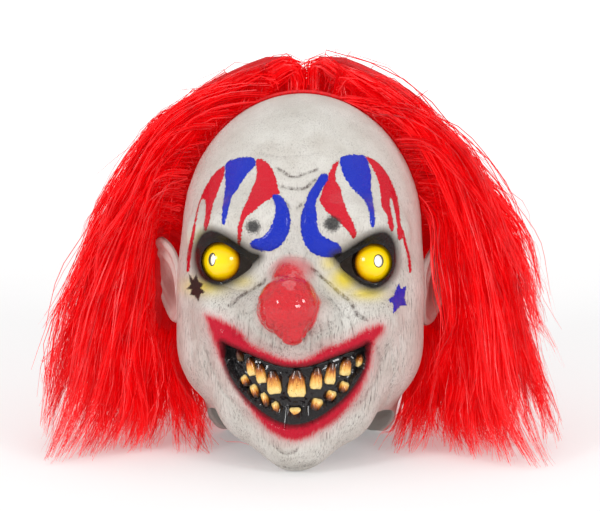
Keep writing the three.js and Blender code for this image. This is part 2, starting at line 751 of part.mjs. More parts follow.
// The short lock that falls in front of the right ear: out from the side of the head and forward
// are shares of the ear's width, up from its lobe is a share of its height
const earLockGuide = [
  { out: 0.23, forward: 0.03, up: 1.2 },
  { out: 0.34, forward: 0.34, up: 0.8 },
  { out: 0.43, forward: 0.46, up: 0.2 },
  { out: 0.31, forward: 0.4, up: -0.75 },
];

function earLock() {
  const way = new THREE.Vector3(0.9, 0.16, 0.62).normalize();
  const points = [surfaceAlong(way, wigThickness / 2, headDistance)];
  for (const { out, forward, up } of earLockGuide) {
    const x = halfWidth + out * earWidth;
    points.push(new THREE.Vector3(x, -forward * earWidth, earBottom + up * earHeight));
  }
  return lockSolid(points, lockWidth * 0.42, lockThickness * 0.3);
}

// Everything that lies more than a distance behind the plane of the hairline
function behindHairline(distance) {
  const block = new THREE.BoxGeometry(3 * headWidth, 2 * headDepth, 3 * faceHeight);
  block.translate(0, headDepth + distance, 0);
  block.rotateX(radians(hairlineSlope));
  block.translate(0, hairlineTop, faceHeight);
  return solidOf(block);
}

function hairSolid() {
  const baseInside = fitGap + 0.1;
  const clearOfSkin = filledHead(baseInside, headDistance);
  const hem = new THREE.BoxGeometry(3 * headWidth, 3 * headDepth, 2 * faceHeight);
  hem.translate(0, 0, faceHeight + wigHem);
  const filled = filledHead(baseInside + wigThickness, headDistance);
  const base = filled.intersect(behindHairline(0)).intersect(solidOf(hem));
  const locks = [];
  for (const side of [-1, 1]) {
    curtain.layers.forEach((_, layer) => {
      for (let i = 0; i < sideLockCount - 2 * layer; i++) {
        locks.push(sideLock(side, i / (sideLockCount - 1), layer));
      }
    });
  }
  for (let i = 0; i < backLockCount; i++) {
    locks.push(backLock((i + 0.5) / backLockCount, mane.high));
    if (i % 2) locks.push(backLock((i + 0.5) / backLockCount, mane.low));
  }
  locks.push(tuftLock(-1), tuftLock(1), earLock());
  let hair = base;
  for (const lock of locks) hair = hair.add(lock);
  const table = new THREE.BoxGeometry(6 * headWidth, 6 * headDepth, headDepth);
  table.translate(0, 0, -headDepth / 2);
  table.applyMatrix4(unstand);
  hair = hair.subtract(clearOfSkin).subtract(solidOf(table));
  for (const side of [-1, 1]) hair = hair.subtract(earSolid(side, 2 * fitGap));
  return largestPiece(hair.simplify(hairTolerance));
}

// The casting: skin, nose and ears, with the lids cut open and the mouth sunk in
function castingSolid() {
  const cavity = filledHead(-wall, skinDistance);
  let face = hollowSkin();
  for (const side of [-1, 1]) face = face.add(earSolid(side).subtract(cavity));
  face = face.add(ball(noseCentre, noseRadius).subtract(cavity));
  face = face.subtract(ball(noseCentre, noseRadius - wall, 10, 6));
  // It starts between the skin's two surfaces, also under the raised lips
  const gumWall = filledHead((lipHeight - wall) / 2, headDistance)
    .subtract(filledHead(-mouthRecess - wall, headDistance))
    .intersect(forwardPrism(grownOutline(mouthOutline, wall), prismReach));
  face = face.add(gumWall);
  const mouthHole = forwardPrism(mouthOutline, prismReach);
  face = face.subtract(mouthHole.subtract(filledHead(-mouthRecess, headDistance)));
  // The seat's flat facets lie outside the dome that sits in it
  const seatRadius = (eyeRadius + fitGap) / Math.cos(Math.PI / seatSegments) ** 2;
  for (const side of [-1, 1]) {
    const centre = new THREE.Vector3(side * eyeCentre.x, eyeCentre.y, eyeCentre.z);
    face = face.subtract(ball(centre, seatRadius, seatSegments, seatSegments / 2)).subtract(lidPrism(side));
  }
  return largestPiece(face.simplify(castingTolerance));
}

// Finishes
const latex = new THREE.MeshStandardMaterial({ color: 0xe6e2db, roughness: 0.6, metalness: 0 });
const eyeYellow = new THREE.MeshStandardMaterial({ color: 0xf6c800, roughness: 0.2, metalness: 0 });
const toothIvory = new THREE.MeshStandardMaterial({ color: 0xe8b766, roughness: 0.3, metalness: 0 });
const wigRed = new THREE.MeshStandardMaterial({ color: 0xe00a0a, roughness: 0.5, metalness: 0 });

function piece(name, geometry, material) {
  const mesh = new THREE.Mesh(geometry, material);
  mesh.name = name;
  return mesh;
}

const head = new THREE.Group();
// The casting is split under the wig, so that each half bends round the hollow less
const casting = castingSolid();
const front = largestPiece(casting.subtract(behindHairline(seamBack - fitGap / 2)));
const back = largestPiece(casting.intersect(behindHairline(seamBack + fitGap / 2)));
head.add(piece("face_shell", geometryOf(front), latex));
head.add(piece("skull_shell", geometryOf(back), latex));

for (const side of [-1, 1]) {
  const eye = piece(side < 0 ? "eye_dome_left" : "eye_dome_right", eyeGeometry(), eyeYellow);
  eye.position.set(side * eyeCentre.x, eyeCentre.y, eyeCentre.z);
  // The dome's pole is its local y
  eye.quaternion.setFromUnitVectors(new THREE.Vector3(0, 1, 0), direction(side * gazeOut, gazeUp));
  head.add(eye);
}

const gums = filledHead(-mouthRecess + fitGap, headDistance);
const insideLips = forwardPrism(grownOutline(mouthOutline, -fitGap), prismReach);
for (const tooth of teeth) {
  head.add(piece(tooth.name, geometryOf(toothSolid(tooth, gums, insideLips)), toothIvory));
}

head.add(piece("hair", geometryOf(hairSolid()), wigRed));

head.rotation.x = -radians(headLean);
head.position.z = -lowest;

// The whole stands with the middle of its footprint at the origin
const mask = new THREE.Group();
mask.add(head);
mask.updateMatrixWorld(true);
const bounds = new THREE.Box3().setFromObject(mask, true);
head.position.y -= (bounds.min.y + bounds.max.y) / 2;
head.position.x -= (bounds.min.x + bounds.max.x) / 2;

export default mask;
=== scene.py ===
# A clown mask of cast latex with a red wig. It stands on its chin, its nape and the tips of its hair.
# Sizes are in millimetres in the head's own frame: x across, y to the back and z up from the chin.
import math

import bpy
import numpy as np
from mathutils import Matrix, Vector


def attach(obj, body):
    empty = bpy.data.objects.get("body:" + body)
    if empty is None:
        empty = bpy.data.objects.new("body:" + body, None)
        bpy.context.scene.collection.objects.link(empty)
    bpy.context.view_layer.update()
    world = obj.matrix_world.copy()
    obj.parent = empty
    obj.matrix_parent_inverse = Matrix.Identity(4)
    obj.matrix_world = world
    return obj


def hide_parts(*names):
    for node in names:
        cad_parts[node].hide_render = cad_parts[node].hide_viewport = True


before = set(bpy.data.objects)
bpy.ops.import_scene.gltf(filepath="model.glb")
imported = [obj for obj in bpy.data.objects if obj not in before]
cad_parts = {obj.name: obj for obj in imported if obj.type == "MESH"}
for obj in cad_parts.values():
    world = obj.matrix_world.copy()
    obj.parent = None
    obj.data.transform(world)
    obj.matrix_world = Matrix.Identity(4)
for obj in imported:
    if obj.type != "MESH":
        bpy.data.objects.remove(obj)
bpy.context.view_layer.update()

# How the mask stands. The head leans back until the edge of its nape meets the table, and the
# middle of the whole footprint is the origin.
head_lean = math.radians(10.5)
stand_shift = np.array([0.0, -37.544, -12.787])


def to_row(points):
    x, y, z = np.moveaxis(np.asarray(points, float), -1, 0)
    back = y * math.cos(head_lean) + z * math.sin(head_lean)
    up = z * math.cos(head_lean) - y * math.sin(head_lean)
    return (np.stack([x, back, up], -1) + stand_shift) / 1000


def from_row(points):
    x, back, up = np.moveaxis(np.asarray(points, float) * 1000 - stand_shift, -1, 0)
    y = back * math.cos(head_lean) - up * math.sin(head_lean)
    z = up * math.cos(head_lean) + back * math.sin(head_lean)
    return np.stack([x, y, z], -1)


# The casting's form. The sculptor's clay was built up from rounded mounds, smoothed into each
# other, with sockets pressed in round the eyes and lids laid over them.
half_width, half_depth, face_height = 92.5, 100.0, 275.0
latex_wall = 3.0
heart = np.array([0.0, -5.0, 134.75])
eye_place = np.array([54.0, -65.0, 152.0])
eye_radius = 17.0
lid_radius = eye_radius + 0.3 + latex_wall
nose_forms = [
    {"form": "ball", "at": (-4.5, -109, 120.5), "radius": 22.0},
    {"form": "drop", "at": (-1, -111, 103), "radius": 11.0},
    {"form": "wing", "at": (11.5, -102, 116), "radius": 10.5},
    {"form": "root", "at": (-2.5, -99, 138), "radius": 14.0},
]
mounds = [
    {"form": "cranium", "at": (0, 0.08, 0.636), "size": (0.965, 1.0, 0.372)},
    {"form": "face", "at": (0, -0.12, 0.47), "size": (0.995, 0.84, 0.31)},
    {"form": "jaw", "at": (0, -0.12, 0.32), "size": (0.98, 0.82, 0.228)},
    {"form": "nape", "at": (0, 0.24, 0.2), "size": (0.78, 0.62, 0.32)},
    {"form": "muzzle", "at": (0, -0.62, 0.27), "size": (0.62, 0.42, 0.17)},
    {"form": "jaw corner", "at": (0.26, -0.58, 0.182), "size": (0.37, 0.3, 0.12)},
    {"form": "chin", "at": (0, -0.74, 0.095), "size": (0.32, 0.27, 0.096)},
    {"form": "cheek", "at": (0.5, -0.72, 0.405), "size": (0.3, 0.24, 0.087)},
    {"form": "brow", "at": (0.36, -0.8, 0.65), "size": (0.33, 0.17, 0.07)},
    {"form": "brow end", "at": (0.68, -0.56, 0.63), "size": (0.2, 0.2, 0.07)},
    {"form": "nose wing", "at": (0.18, -1.0, 0.415), "size": (0.13, 0.14, 0.04)},
]
socket_mound = {"form": "socket", "at": (0.56, -1.02, 0.548), "size": (0.3, 0.24, 0.078)}
head_scale = np.array([half_width, half_depth, face_height])


def soft_min(a, b, blend):
    overlap = np.maximum(blend - np.abs(a - b), 0) / blend
    return np.minimum(a, b) - overlap * overlap * blend / 4


def mound_distance(points, mound):
    off = np.stack([np.abs(points[:, 0]), points[:, 1], points[:, 2]], 1)
    off -= np.array(mound["at"]) * head_scale
    size = np.array(mound["size"]) * head_scale
    near = np.linalg.norm(off / size, axis=1)
    slope = np.maximum(np.linalg.norm(off / size**2, axis=1), 1e-9)
    return near * (near - 1) / slope


def bridge_distance(points):
    top = np.array([0, -90.0, 0.585 * face_height])
    bottom = np.array([0, -104.5, 127.0])
    line = bottom - top
    along = np.clip((points - top) @ line / (line @ line), 0, 1)
    return np.linalg.norm(points - top - along[:, None] * line, axis=1) - (9 + 6 * along)


def head_distance(points):
    distance = mound_distance(points, mounds[0])
    for mound in mounds[1:]:
        distance = soft_min(distance, mound_distance(points, mound), 15)
    distance = soft_min(distance, bridge_distance(points), 7.5)
    distance = -soft_min(-distance, mound_distance(points, socket_mound), 7.5)
    mirrored = np.stack([np.abs(points[:, 0]), points[:, 1], points[:, 2]], 1)
    lid = np.linalg.norm(mirrored - eye_place, axis=1) - lid_radius
    return soft_min(distance, lid, 3.75)


def nose_distance(points):
    distance = np.full(len(points), 99.0)
    for lump in nose_forms:
        ball = np.linalg.norm(points - lump["at"], axis=1) - lump["radius"]
        distance = soft_min(distance, ball, 3.5)
    return distance


def spline_between(a, b, c, d, steps):
    """Points along a smooth curve from b to c that comes from a and goes on to d."""
    t = (np.arange(steps) / steps)[:, None]
    spline = b + 0.5 * t * (c - a) + t**2 * (a - 2.5 * b + 2 * c - 0.5 * d)
    return spline + t**3 * (1.5 * (b - c) + 0.5 * (d - a))


def closed_curve(corners, per_side=6):
    """A smooth closed outline through its corners."""
    corners = np.array(corners, float)
    a, b, c, d = (np.roll(corners, step, 0)[:, None] for step in (1, 0, -1, -2))
    return spline_between(a, b, c, d, per_side).reshape(-1, corners.shape[1])


def open_curve(corners, per_side=6):
    """A smooth line through its corners, from the first to the last."""
    corners = np.array(corners, float)
    ends = np.vstack([2 * corners[0] - corners[1], corners, 2 * corners[-1] - corners[-2]])
    a, b, c, d = ends[:-3, None], ends[1:-2, None], ends[2:-1, None], ends[3:, None]
    spline = spline_between(a, b, c, d, per_side)
    return np.vstack([spline.reshape(-1, corners.shape[1]), corners[-1:]])


# How far from a drawn line or outline its distance is still measured
far_off = 15.0


def line_distance(across, up, line, far=far_off):
    """How far each place in the front view lies from a drawn line."""
    low, high = line.min(0) - far, line.max(0) + far
    near = (across > low[0]) & (across < high[0]) & (up > low[1]) & (up < high[1])
    x, z = across[near], up[near]
    best = np.full(len(x), far * far)
    for (ax, az), (bx, bz) in zip(line[:-1], line[1:]):
        ex, ez = bx - ax, bz - az
        t = np.clip(((x - ax) * ex + (z - az) * ez) / max(ex * ex + ez * ez, 1e-9), 0, 1)
        best = np.minimum(best, (x - ax - t * ex) ** 2 + (z - az - t * ez) ** 2)
    distance = np.full(len(across), far)
    distance[near] = np.sqrt(best)
    return distance


def outline_distance(across, up, outline, far=far_off):
    """The same from a closed outline, and less than nothing inside it."""
    ring = np.vstack([outline, outline[:1]])
    distance = line_distance(across, up, ring, far)
    inside = np.zeros(len(across), bool)
    for (ax, az), (bx, bz) in zip(ring[:-1], ring[1:]):
        if az != bz:
            passes = ((az > up) != (bz > up)) & (across < ax + (bx - ax) * (up - az) / (bz - az))
            inside ^= passes
    return np.where(inside, -distance, distance)


mouth_rows = [
    {"across": 0, "top": 0.276, "bottom": 0.126},
    {"across": 0.25, "top": 0.282, "bottom": 0.137},
    {"across": 0.5, "top": 0.3, "bottom": 0.167},
    {"across": 0.75, "top": 0.318, "bottom": 0.212},
    {"across": 0.93, "top": 0.332, "bottom": 0.268},
    {"across": 1, "top": 0.339, "bottom": 0.329},
]
mouth_half = 53.0
mouth_sides = [(row["across"] * mouth_half, row["top"] * face_height) for row in mouth_rows]
mouth_sides += [(row["across"] * mouth_half, row["bottom"] * face_height) for row in mouth_rows[::-1]]
mouth_corners = mouth_sides + [(-x, z) for x, z in mouth_sides[-2:0:-1]]
mouth_outline = closed_curve(mouth_corners, 4)
gum_depth = 7.0


def mouth_distance(points):
    distance = np.full(len(points), far_off)
    near = (np.abs(points[:, 0]) < 72) & (points[:, 2] < 112) & (points[:, 1] < -20)
    distance[near] = outline_distance(points[near, 0], points[near, 2], mouth_outline)
    return distance


def face_distance(points):
    """The head with its raised lips and the ball of the nose."""
    distance = head_distance(points)
    lips = 2.5 * np.exp(-(((mouth_distance(points) - 5) / 5) ** 2))
    distance = distance - np.where(points[:, 1] < heart[1], lips, 0)
    return soft_min(distance, nose_distance(points), 2.5)


def trace(ways, field, level=0.0):
    """Where the rays from the heart of the head leave a form."""
    reach = np.full(len(ways), face_height)
    live = np.arange(len(ways))
    for _ in range(90):
        off = field(heart + ways[live] * reach[live, None]) - level
        reach[live] -= 0.7 * off
        live = live[np.abs(off) > 1e-3]
        if not len(live):
            break
    return heart + ways * reach[:, None]


def ways_of(bearing, rise):
    b, r = np.radians(bearing), np.radians(rise)
    return np.stack([np.sin(b) * np.cos(r), -np.cos(b) * np.cos(r), np.sin(r)], -1)


def sink_mouth(points, grow, depth):
    """Moves the points in the mouth's opening back onto the gums."""
    picked = np.flatnonzero(mouth_distance(points) < grow + 2.5)
    picked = picked[points[picked, 1] < -30]
    reach = np.linalg.norm(points[picked] - heart, axis=1)
    ways = (points[picked] - heart) / reach[:, None]
    steps = np.arange(-1.5, 22, 0.4)
    samples = heart + ways[:, None] * (reach[:, None] - steps)[..., None]
    flat = samples.reshape(-1, 3)
    skin = face_distance(flat) + grow
    hole = soft_min(grow - mouth_distance(flat), head_distance(flat) + depth, 1.0)
    whole = -soft_min(-skin, -hole, 1.6)
    whole = whole.reshape(len(picked), len(steps))
    first = np.argmax(whole < 0, axis=1)
    first = np.maximum(first, 1)
    rows = np.arange(len(picked))
    before, after = whole[rows, first - 1], whole[rows, first]
    share = np.clip(before / np.maximum(before - after, 1e-6), 0, 1)
    back = steps[first - 1] + share * 0.4
    sunk = points.copy()
    sunk[picked] = heart + ways * (reach - back)[:, None]
    return sunk


neck_rows = [(0, 71), (25, 69), (50, 61), (75, 55), (105, 53), (180, 53)]


def neck_rise(bearing, field, level):
    """Where the neck opening cuts the skin. Behind, the skin reaches down to the table."""
    turn = np.abs(((np.asarray(bearing) + 180) % 360) - 180)
    given = -np.interp(turn, [row[0] for row in neck_rows], [row[1] for row in neck_rows])
    share = np.clip((turn - 120) / 20, 0, 1)
    high, low = np.zeros(len(turn)), np.full(len(turn), -80.0)
    for _ in range(16):
        middle = (high + low) / 2
        over = to_row(trace(ways_of(bearing, middle), field, level))[:, 2] > 0
        high, low = np.where(over, middle, high), np.where(over, low, middle)
    return given + (high - given) * share


def patch(rows, bearings, inner):
    """Part of the skin as a grid of points: the crown first, then rings down to the neck."""
    level = -latex_wall if inner else 0.0
    edge = neck_rise(bearings, face_distance, level)
    fall = (np.arange(1, rows + 1) / rows) ** 0.75
    rise = 90 + (edge[None, :] - 90) * fall[:, None]
    bearing = np.broadcast_to(bearings, rise.shape)
    ways = np.vstack([ways_of(0.0, 90.0)[None], ways_of(bearing.ravel(), rise.ravel())])
    points = trace(ways, face_distance, level)
    depth = gum_depth + (latex_wall if inner else 0)
    return sink_mouth(points, latex_wall if inner else 0, depth)


def patch_faces(columns, rows, first=0, flip=False):
    at = first + 1 + np.arange(rows * columns).reshape(rows, columns)
    a, b, c, d = at[:-1, :-1], at[1:, :-1], at[1:, 1:], at[:-1, 1:]
    quads = np.stack([a, b, c, d], -1).reshape(-1, 4)
    fan = np.stack([np.full(columns - 1, first), at[0, :-1], at[0, 1:]], -1)
    faces = [tuple(f) for f in fan.tolist()] + [tuple(f) for f in quads.tolist()]
    return [f[::-1] for f in faces] if flip else faces


def patch_border(columns, rows, first=0):
    at = first + 1 + np.arange(rows * columns).reshape(rows, columns)
    return [first, *at[:, 0], *at[-1, 1:], *at[-2::-1, -1]]


def border_faces(fine, coarse):
    """The cut edge of the latex, from the skin's fine border to its inside's coarse one."""
    faces = []
    ratio = len(fine) // len(coarse)
    for k in range(len(coarse)):
        here, there = coarse[k], coarse[(k + 1) % len(coarse)]
        for j in range(ratio):
            a, b = fine[(k * ratio + j) % len(fine)], fine[(k * ratio + j + 1) % len(fine)]
            if 2 * j == ratio:
                faces.append((here, there, a))
            faces.append((here if 2 * j < ratio else there, b, a))
    return faces


def write_marks(mesh, marks):
    """Keeps values on a mesh's points, for its material to read."""
    for mark, values in dict(marks).items():
        layer = mesh.attributes.new(mark, "FLOAT", "POINT")
        layer.data.foreach_set("value", np.asarray(values, np.float32).ravel())


def made(name, points, faces, marks=()):
    """A piece from points in the head's frame, with values marked on its points."""
    mesh = bpy.data.meshes.new(name)
    mesh.from_pydata([tuple(p) for p in to_row(points).tolist()], [], faces)
    mesh.validate()
    mesh.shade_smooth()
    write_marks(mesh, marks)
    piece = bpy.data.objects.new(name, mesh)
    bpy.context.scene.collection.objects.link(piece)
    return piece


def grid_normals(points, columns, rows):
    grid = points[1:].reshape(rows, columns, 3)
    down = np.gradient(grid, axis=0)
    along = np.gradient(grid, axis=1)
    normal = np.cross(down, along)
    normal /= np.maximum(np.linalg.norm(normal, axis=2, keepdims=True), 1e-9)
    return np.vstack([[[0, 0, 1]], normal.reshape(-1, 3)])


# Where the painter stood: in front of the mask, a little to its left side. Lines and patches of
# paint are laid out as seen from there, on a plane through the face.
easel = np.array([3.3, -95.0, 157.0])
painter = easel + [150.7, -3196.3, 27.9]
sight = (easel - painter) / np.linalg.norm(easel - painter)
sight_right = np.cross(sight, [0, 0, 1.0])
sight_right /= np.linalg.norm(sight_right)
sight_up = np.cross(sight_right, sight)


def seen(points):
    off = points - painter
    reach = np.linalg.norm(easel - painter) / (off @ sight)
    return easel[0] + (off @ sight_right) * reach, easel[2] + (off @ sight_up) * reach


# The folds and wrinkles that the sculptor cut into the clay, as lines seen from in front. Each has
# the width and the depth of the tool that cut it.
creases = [
    {"line": [(-31, 231), (-19, 229), (-4, 229), (11, 230), (23, 232.5)], "depth": 0.7, "width": 1.6},
    {"line": [(-15, 223), (-11, 218), (-6, 215.3), (0, 214.6), (6, 216), (13, 218.5), (18, 221.5)],
     "depth": 1.5, "width": 1.2},
    {"line": [(-14, 210), (-8, 206.5), (-1, 204.5), (6, 206), (12, 210), (15.5, 215)],
     "depth": 1.5, "width": 1.2},
    {"line": [(-8, 199), (-5, 193), (-2, 188)], "depth": 1.1, "width": 1},
    {"line": [(5.5, 198), (2.5, 192), (0, 188)], "depth": 1.1, "width": 1},
    {"line": [(-36, 240), (-20, 238), (-2, 237.5), (16, 239), (30, 242)], "depth": 0.35, "width": 1.7},
    {"line": [(9, 149), (21, 140.5), (34, 129.5), (41, 122.5), (45, 115), (54, 108)],
     "depth": 1.7, "width": 1.4},
    {"line": [(-20, 143), (-26, 135.5), (-38, 128.5), (-45, 121), (-50, 117)], "depth": 1.5, "width": 1.4},
    {"line": [(-14, 134), (-22, 126), (-30, 118), (-40, 113)], "depth": 0.8, "width": 1},
    {"line": [(20, 131), (28, 122), (36, 114), (44, 109)], "depth": 0.8, "width": 1},
    {"line": [(-26, 131), (-40, 132), (-56, 135), (-66, 141)], "depth": 0.8, "width": 1.1},
    {"line": [(27, 131), (42, 129), (58, 131), (70, 137)], "depth": 0.8, "width": 1.1},
    {"line": [(-72, 150), (-79, 148), (-84, 143)], "depth": 0.6, "width": 0.86},
    {"line": [(-73, 157), (-80, 158), (-86, 156)], "depth": 0.6, "width": 0.86},
    {"line": [(75, 150), (81, 147), (86, 141)], "depth": 0.6, "width": 0.86},
    {"line": [(76, 158), (82, 158), (87, 155)], "depth": 0.6, "width": 0.86},
    {"line": [(-14, 20.5), (-11.5, 15.5), (-6, 13), (1.5, 15), (4.5, 20.5)], "depth": 1.2, "width": 1.1},
    {"line": [(-27, 17), (-19, 8), (-6, 3), (8, 4), (20, 10)], "depth": 0.9, "width": 1.2},
    {"line": [(-40, 46), (-52, 58), (-60, 76), (-66, 96)], "depth": 0.8, "width": 1.6},
    {"line": [(42, 46), (54, 58), (63, 78), (68, 98)], "depth": 0.8, "width": 1.6},
    {"line": [(58, 96), (62, 84), (63, 70)], "depth": 0.9, "width": 1},
    {"line": [(66, 100), (70, 84), (71, 66), (66, 48)], "depth": 0.7, "width": 1.1},
    {"line": [(74, 104), (78, 86), (78, 68), (71, 46)], "depth": 0.6, "width": 1.1},
    {"line": [(-60, 92), (-64, 78), (-63, 64)], "depth": 0.7, "width": 1},
    {"line": [(-70, 100), (-74, 84), (-73, 66), (-66, 48)], "depth": 0.5, "width": 1.1},
    {"line": [(-9, 165), (-5, 160), (-2, 152)], "depth": 0.9, "width": 0.94},
    {"line": [(11, 163), (8, 158), (5, 150)], "depth": 0.9, "width": 0.94},
    {"line": [(-12, 158), (-5, 155), (4, 155), (12, 157)], "depth": 0.8, "width": 0.86},
    {"line": [(11, 107), (8, 99), (5, 92)], "depth": 1.6, "width": 1.2},
    {"line": [(-7, 105), (-6, 98), (-3, 92)], "depth": 1.2, "width": 1.1},
]
for place in (-44, -34, -25, -17, -10, 12, 19, 27, 35, 43):
    top = 98 + 0.28 * abs(place)
    foot = 80 + 0.32 * abs(place)
    line = [(place * 0.86, top + 8), (place * 0.95, top), (place, foot)]
    creases.append({"line": line, "depth": 0.9, "width": 0.94})
for place in (-36, -22, -8, 8, 22, 36):
    foot = 24 + 0.55 * abs(place)
    line = [(place * 0.82, foot + 9), (place, foot), (place * 1.06, foot - 8)]
    creases.append({"line": line, "depth": 0.5, "width": 1})


def crease_depth(across, up, facing):
    # The sculptor's tool wavered along each line
    wander = np.sin(up / 2.3 + np.sin(across / 4.1) * 2) * 0.4 + np.sin(up / 5.7 + across / 3.1) * 0.5
    drift = np.sin(across / 2.9 + np.sin(up / 3.7) * 2) * 0.4 + np.sin(across / 6.1 - up / 2.7) * 0.5
    across, up = across + wander, up + drift
    depth = np.zeros(len(across))
    for crease in creases:
        line = open_curve(crease["line"], 5)
        off = line_distance(across, up, line, 4 * crease["width"])
        ends = np.minimum(
            np.hypot(across - line[0, 0], up - line[0, 1]), np.hypot(across - line[-1, 0], up - line[-1, 1])
        )
        taper = np.clip(ends / 5, 0.25, 1)
        groove = crease["depth"] * taper * np.exp(-((off / crease["width"]) ** 2))
        depth = np.maximum(depth, groove)
    return depth * facing


# Paint on the brow, in thick brushed enamel that stands off the skin: blue and red patches that
# run down into drips, two raised blue crescents, a star on each cheek and a black spot by each eye.
blue_patches = [
    [(-51, 223), (-45, 226.5), (-37, 228), (-30.5, 227), (-30, 222), (-36, 215), (-43, 204), (-47, 198),
     (-49.5, 187), (-51.5, 180), (-53, 179), (-53.5, 184), (-52.5, 196), (-51, 208), (-51.5, 216)],
    [(31.6, 226), (34, 229), (41, 230.3), (48, 230), (51, 227), (54, 218), (54, 209), (55.5, 198),
     (57, 188), (57.3, 183), (56, 177.5), (54, 181), (53, 190), (49, 198), (42, 205), (37, 211), (34, 217)],
]
blue_crescents = [
    [(-17, 200), (-13, 201), (-9, 198), (-5.5, 191), (-4, 184), (-4.7, 175), (-8, 168), (-13, 162.5),
     (-20, 160), (-28, 161), (-33, 163.5), (-31, 167.5), (-25, 169.5), (-20, 174), (-16.5, 181),
     (-14.7, 188), (-15.5, 195)],
    [(22.5, 216), (18, 216), (15, 211), (10, 204), (6.5, 194), (4, 186), (4, 175), (7, 165), (14, 158),
     (24, 156), (31, 157), (33.5, 160.5), (31, 165.5), (24, 169), (19, 172), (15.5, 179), (15, 187),
     (14.5, 196), (19, 206), (23, 212)],
]
red_patches = [
    [(-29, 226), (-24, 226), (-18.5, 221), (-15, 214), (-13.5, 207), (-12, 202), (-18, 198.5),
     (-25, 194), (-31, 188.5), (-36, 184.5), (-38.5, 178), (-39.5, 169), (-40.5, 165), (-42, 170),
     (-41.5, 179), (-38.5, 189), (-34, 199), (-31.5, 206), (-29, 212), (-28.5, 219)],
    [(-52, 221), (-52.5, 215), (-56, 205), (-60, 194), (-62, 185), (-63.5, 178), (-65, 174.5),
     (-66.5, 177), (-65.5, 186), (-65.5, 196), (-68.5, 197), (-71, 188), (-72.5, 177), (-74, 167),
     (-75.8, 157), (-77, 146), (-78.5, 150), (-78, 159), (-75.5, 171), (-72.7, 184), (-70, 195),
     (-66.5, 204), (-62, 212), (-57, 218)],
    [(31, 226), (29, 219), (28.5, 212), (32, 206), (34, 198), (37, 190), (41.5, 181), (44, 174),
     (42, 169.5), (38, 175), (32, 181), (26, 186), (21, 191), (17.5, 197), (19, 203), (21, 210),
     (24, 217), (27, 223)],
    [(49.6, 229), (56, 227), (63, 220.5), (68.5, 212), (73, 201), (75, 191), (76, 181), (78.5, 173),
     (75, 168.7), (74, 173), (73, 184), (70.5, 194), (68.6, 201), (68, 195), (69.5, 187), (71, 178),
     (69.5, 175), (67.5, 179), (66, 187), (62.5, 193), (61.5, 200), (60.5, 209), (57, 218), (53, 225)],
]
red_drips = [
    [(78.3, 172), (80, 164.5), (82.2, 157), (83.2, 146)],
    [(-76.5, 160), (-77.6, 152), (-77.8, 145)],
    [(-41, 170), (-40.8, 163)],
]
spots = [(-30.8, 177.5, 4.6), (26.5, 180.3, 5.2)]
black_star = np.array([
    (-77.3, 143.1), (-74.1, 139.1), (-71.7, 142.4), (-69.6, 137.3), (-66.7, 135.9), (-68.5, 132.6),
    (-65.4, 130), (-68.6, 128.3), (-69.9, 122.8), (-72.8, 127.2), (-76.1, 127.9), (-75, 131.9),
    (-78.5, 131.7), (-75.7, 135.5),
])
blue_star = np.array([
    (74.9, 137.5), (76.8, 133.7), (80.3, 135.4), (79, 126.8), (80.8, 121.7), (76.1, 121), (71, 115.1),
    (71.5, 122.1), (67.2, 125.2), (71.4, 128.3),
])
eye_surrounds = [
    [(-25.7, 156.5), (-33, 159.5), (-43, 166), (-53, 172), (-62, 174.5), (-69, 170), (-72.5, 160),
     (-71.5, 148), (-66, 139), (-56, 135), (-46, 138), (-37, 144.5), (-30.5, 151)],
    [(27.9, 157), (35, 160), (45, 166.5), (55, 172.5), (64, 174.5), (70, 170), (72.8, 160),
     (72, 148), (66, 138), (57, 133.5), (47, 137), (38, 144), (32, 151)],
]
lip_paint = [
    (-65.3, 113.6), (-56, 111.4), (-47, 106.8), (-38.8, 101.4), (-32.7, 94.2), (-25.6, 90.2), (-15.4, 85),
    (-5.3, 82), (4.9, 81.5), (15, 86), (23.2, 91.2), (31.3, 93.2), (41.5, 98.3), (51.6, 104.4),
    (62.8, 107.5), (64.8, 102.4), (58.7, 94.2), (56.7, 84.1), (54.7, 75), (50.6, 63.8), (43.5, 51.7),
    (35.4, 41.6), (27.3, 34.5), (18.1, 29.4), (10, 24.4), (-1.2, 22.3), (-11.3, 25.4), (-19.5, 30.4),
    (-28.6, 40.5), (-35.7, 50.7), (-42.8, 61.9), (-48.9, 72), (-55, 83.2), (-59, 93.3), (-63.1, 104.4),
]
stains = [
    {"x": -66, "z": 134, "rx": 14, "rz": 6, "part": 0.75},
    {"x": -40, "z": 138, "rx": 9, "rz": 5, "part": 0.5},
    {"x": -67, "z": 168, "rx": 8, "rz": 7, "part": 0.45},
    {"x": 36, "z": 141, "rx": 10, "rz": 9, "part": 1.0},
    {"x": 52, "z": 130, "rx": 12, "rz": 5, "part": 0.8},
    {"x": 25, "z": 152, "rx": 6, "rz": 6, "part": 0.6},
]


def nearest_outline(across, up, outlines, smooth=5):
    distance = np.full(len(across), far_off)
    for outline in outlines:
        curve = closed_curve(outline, smooth)
        distance = np.minimum(distance, outline_distance(across, up, curve))
    return distance


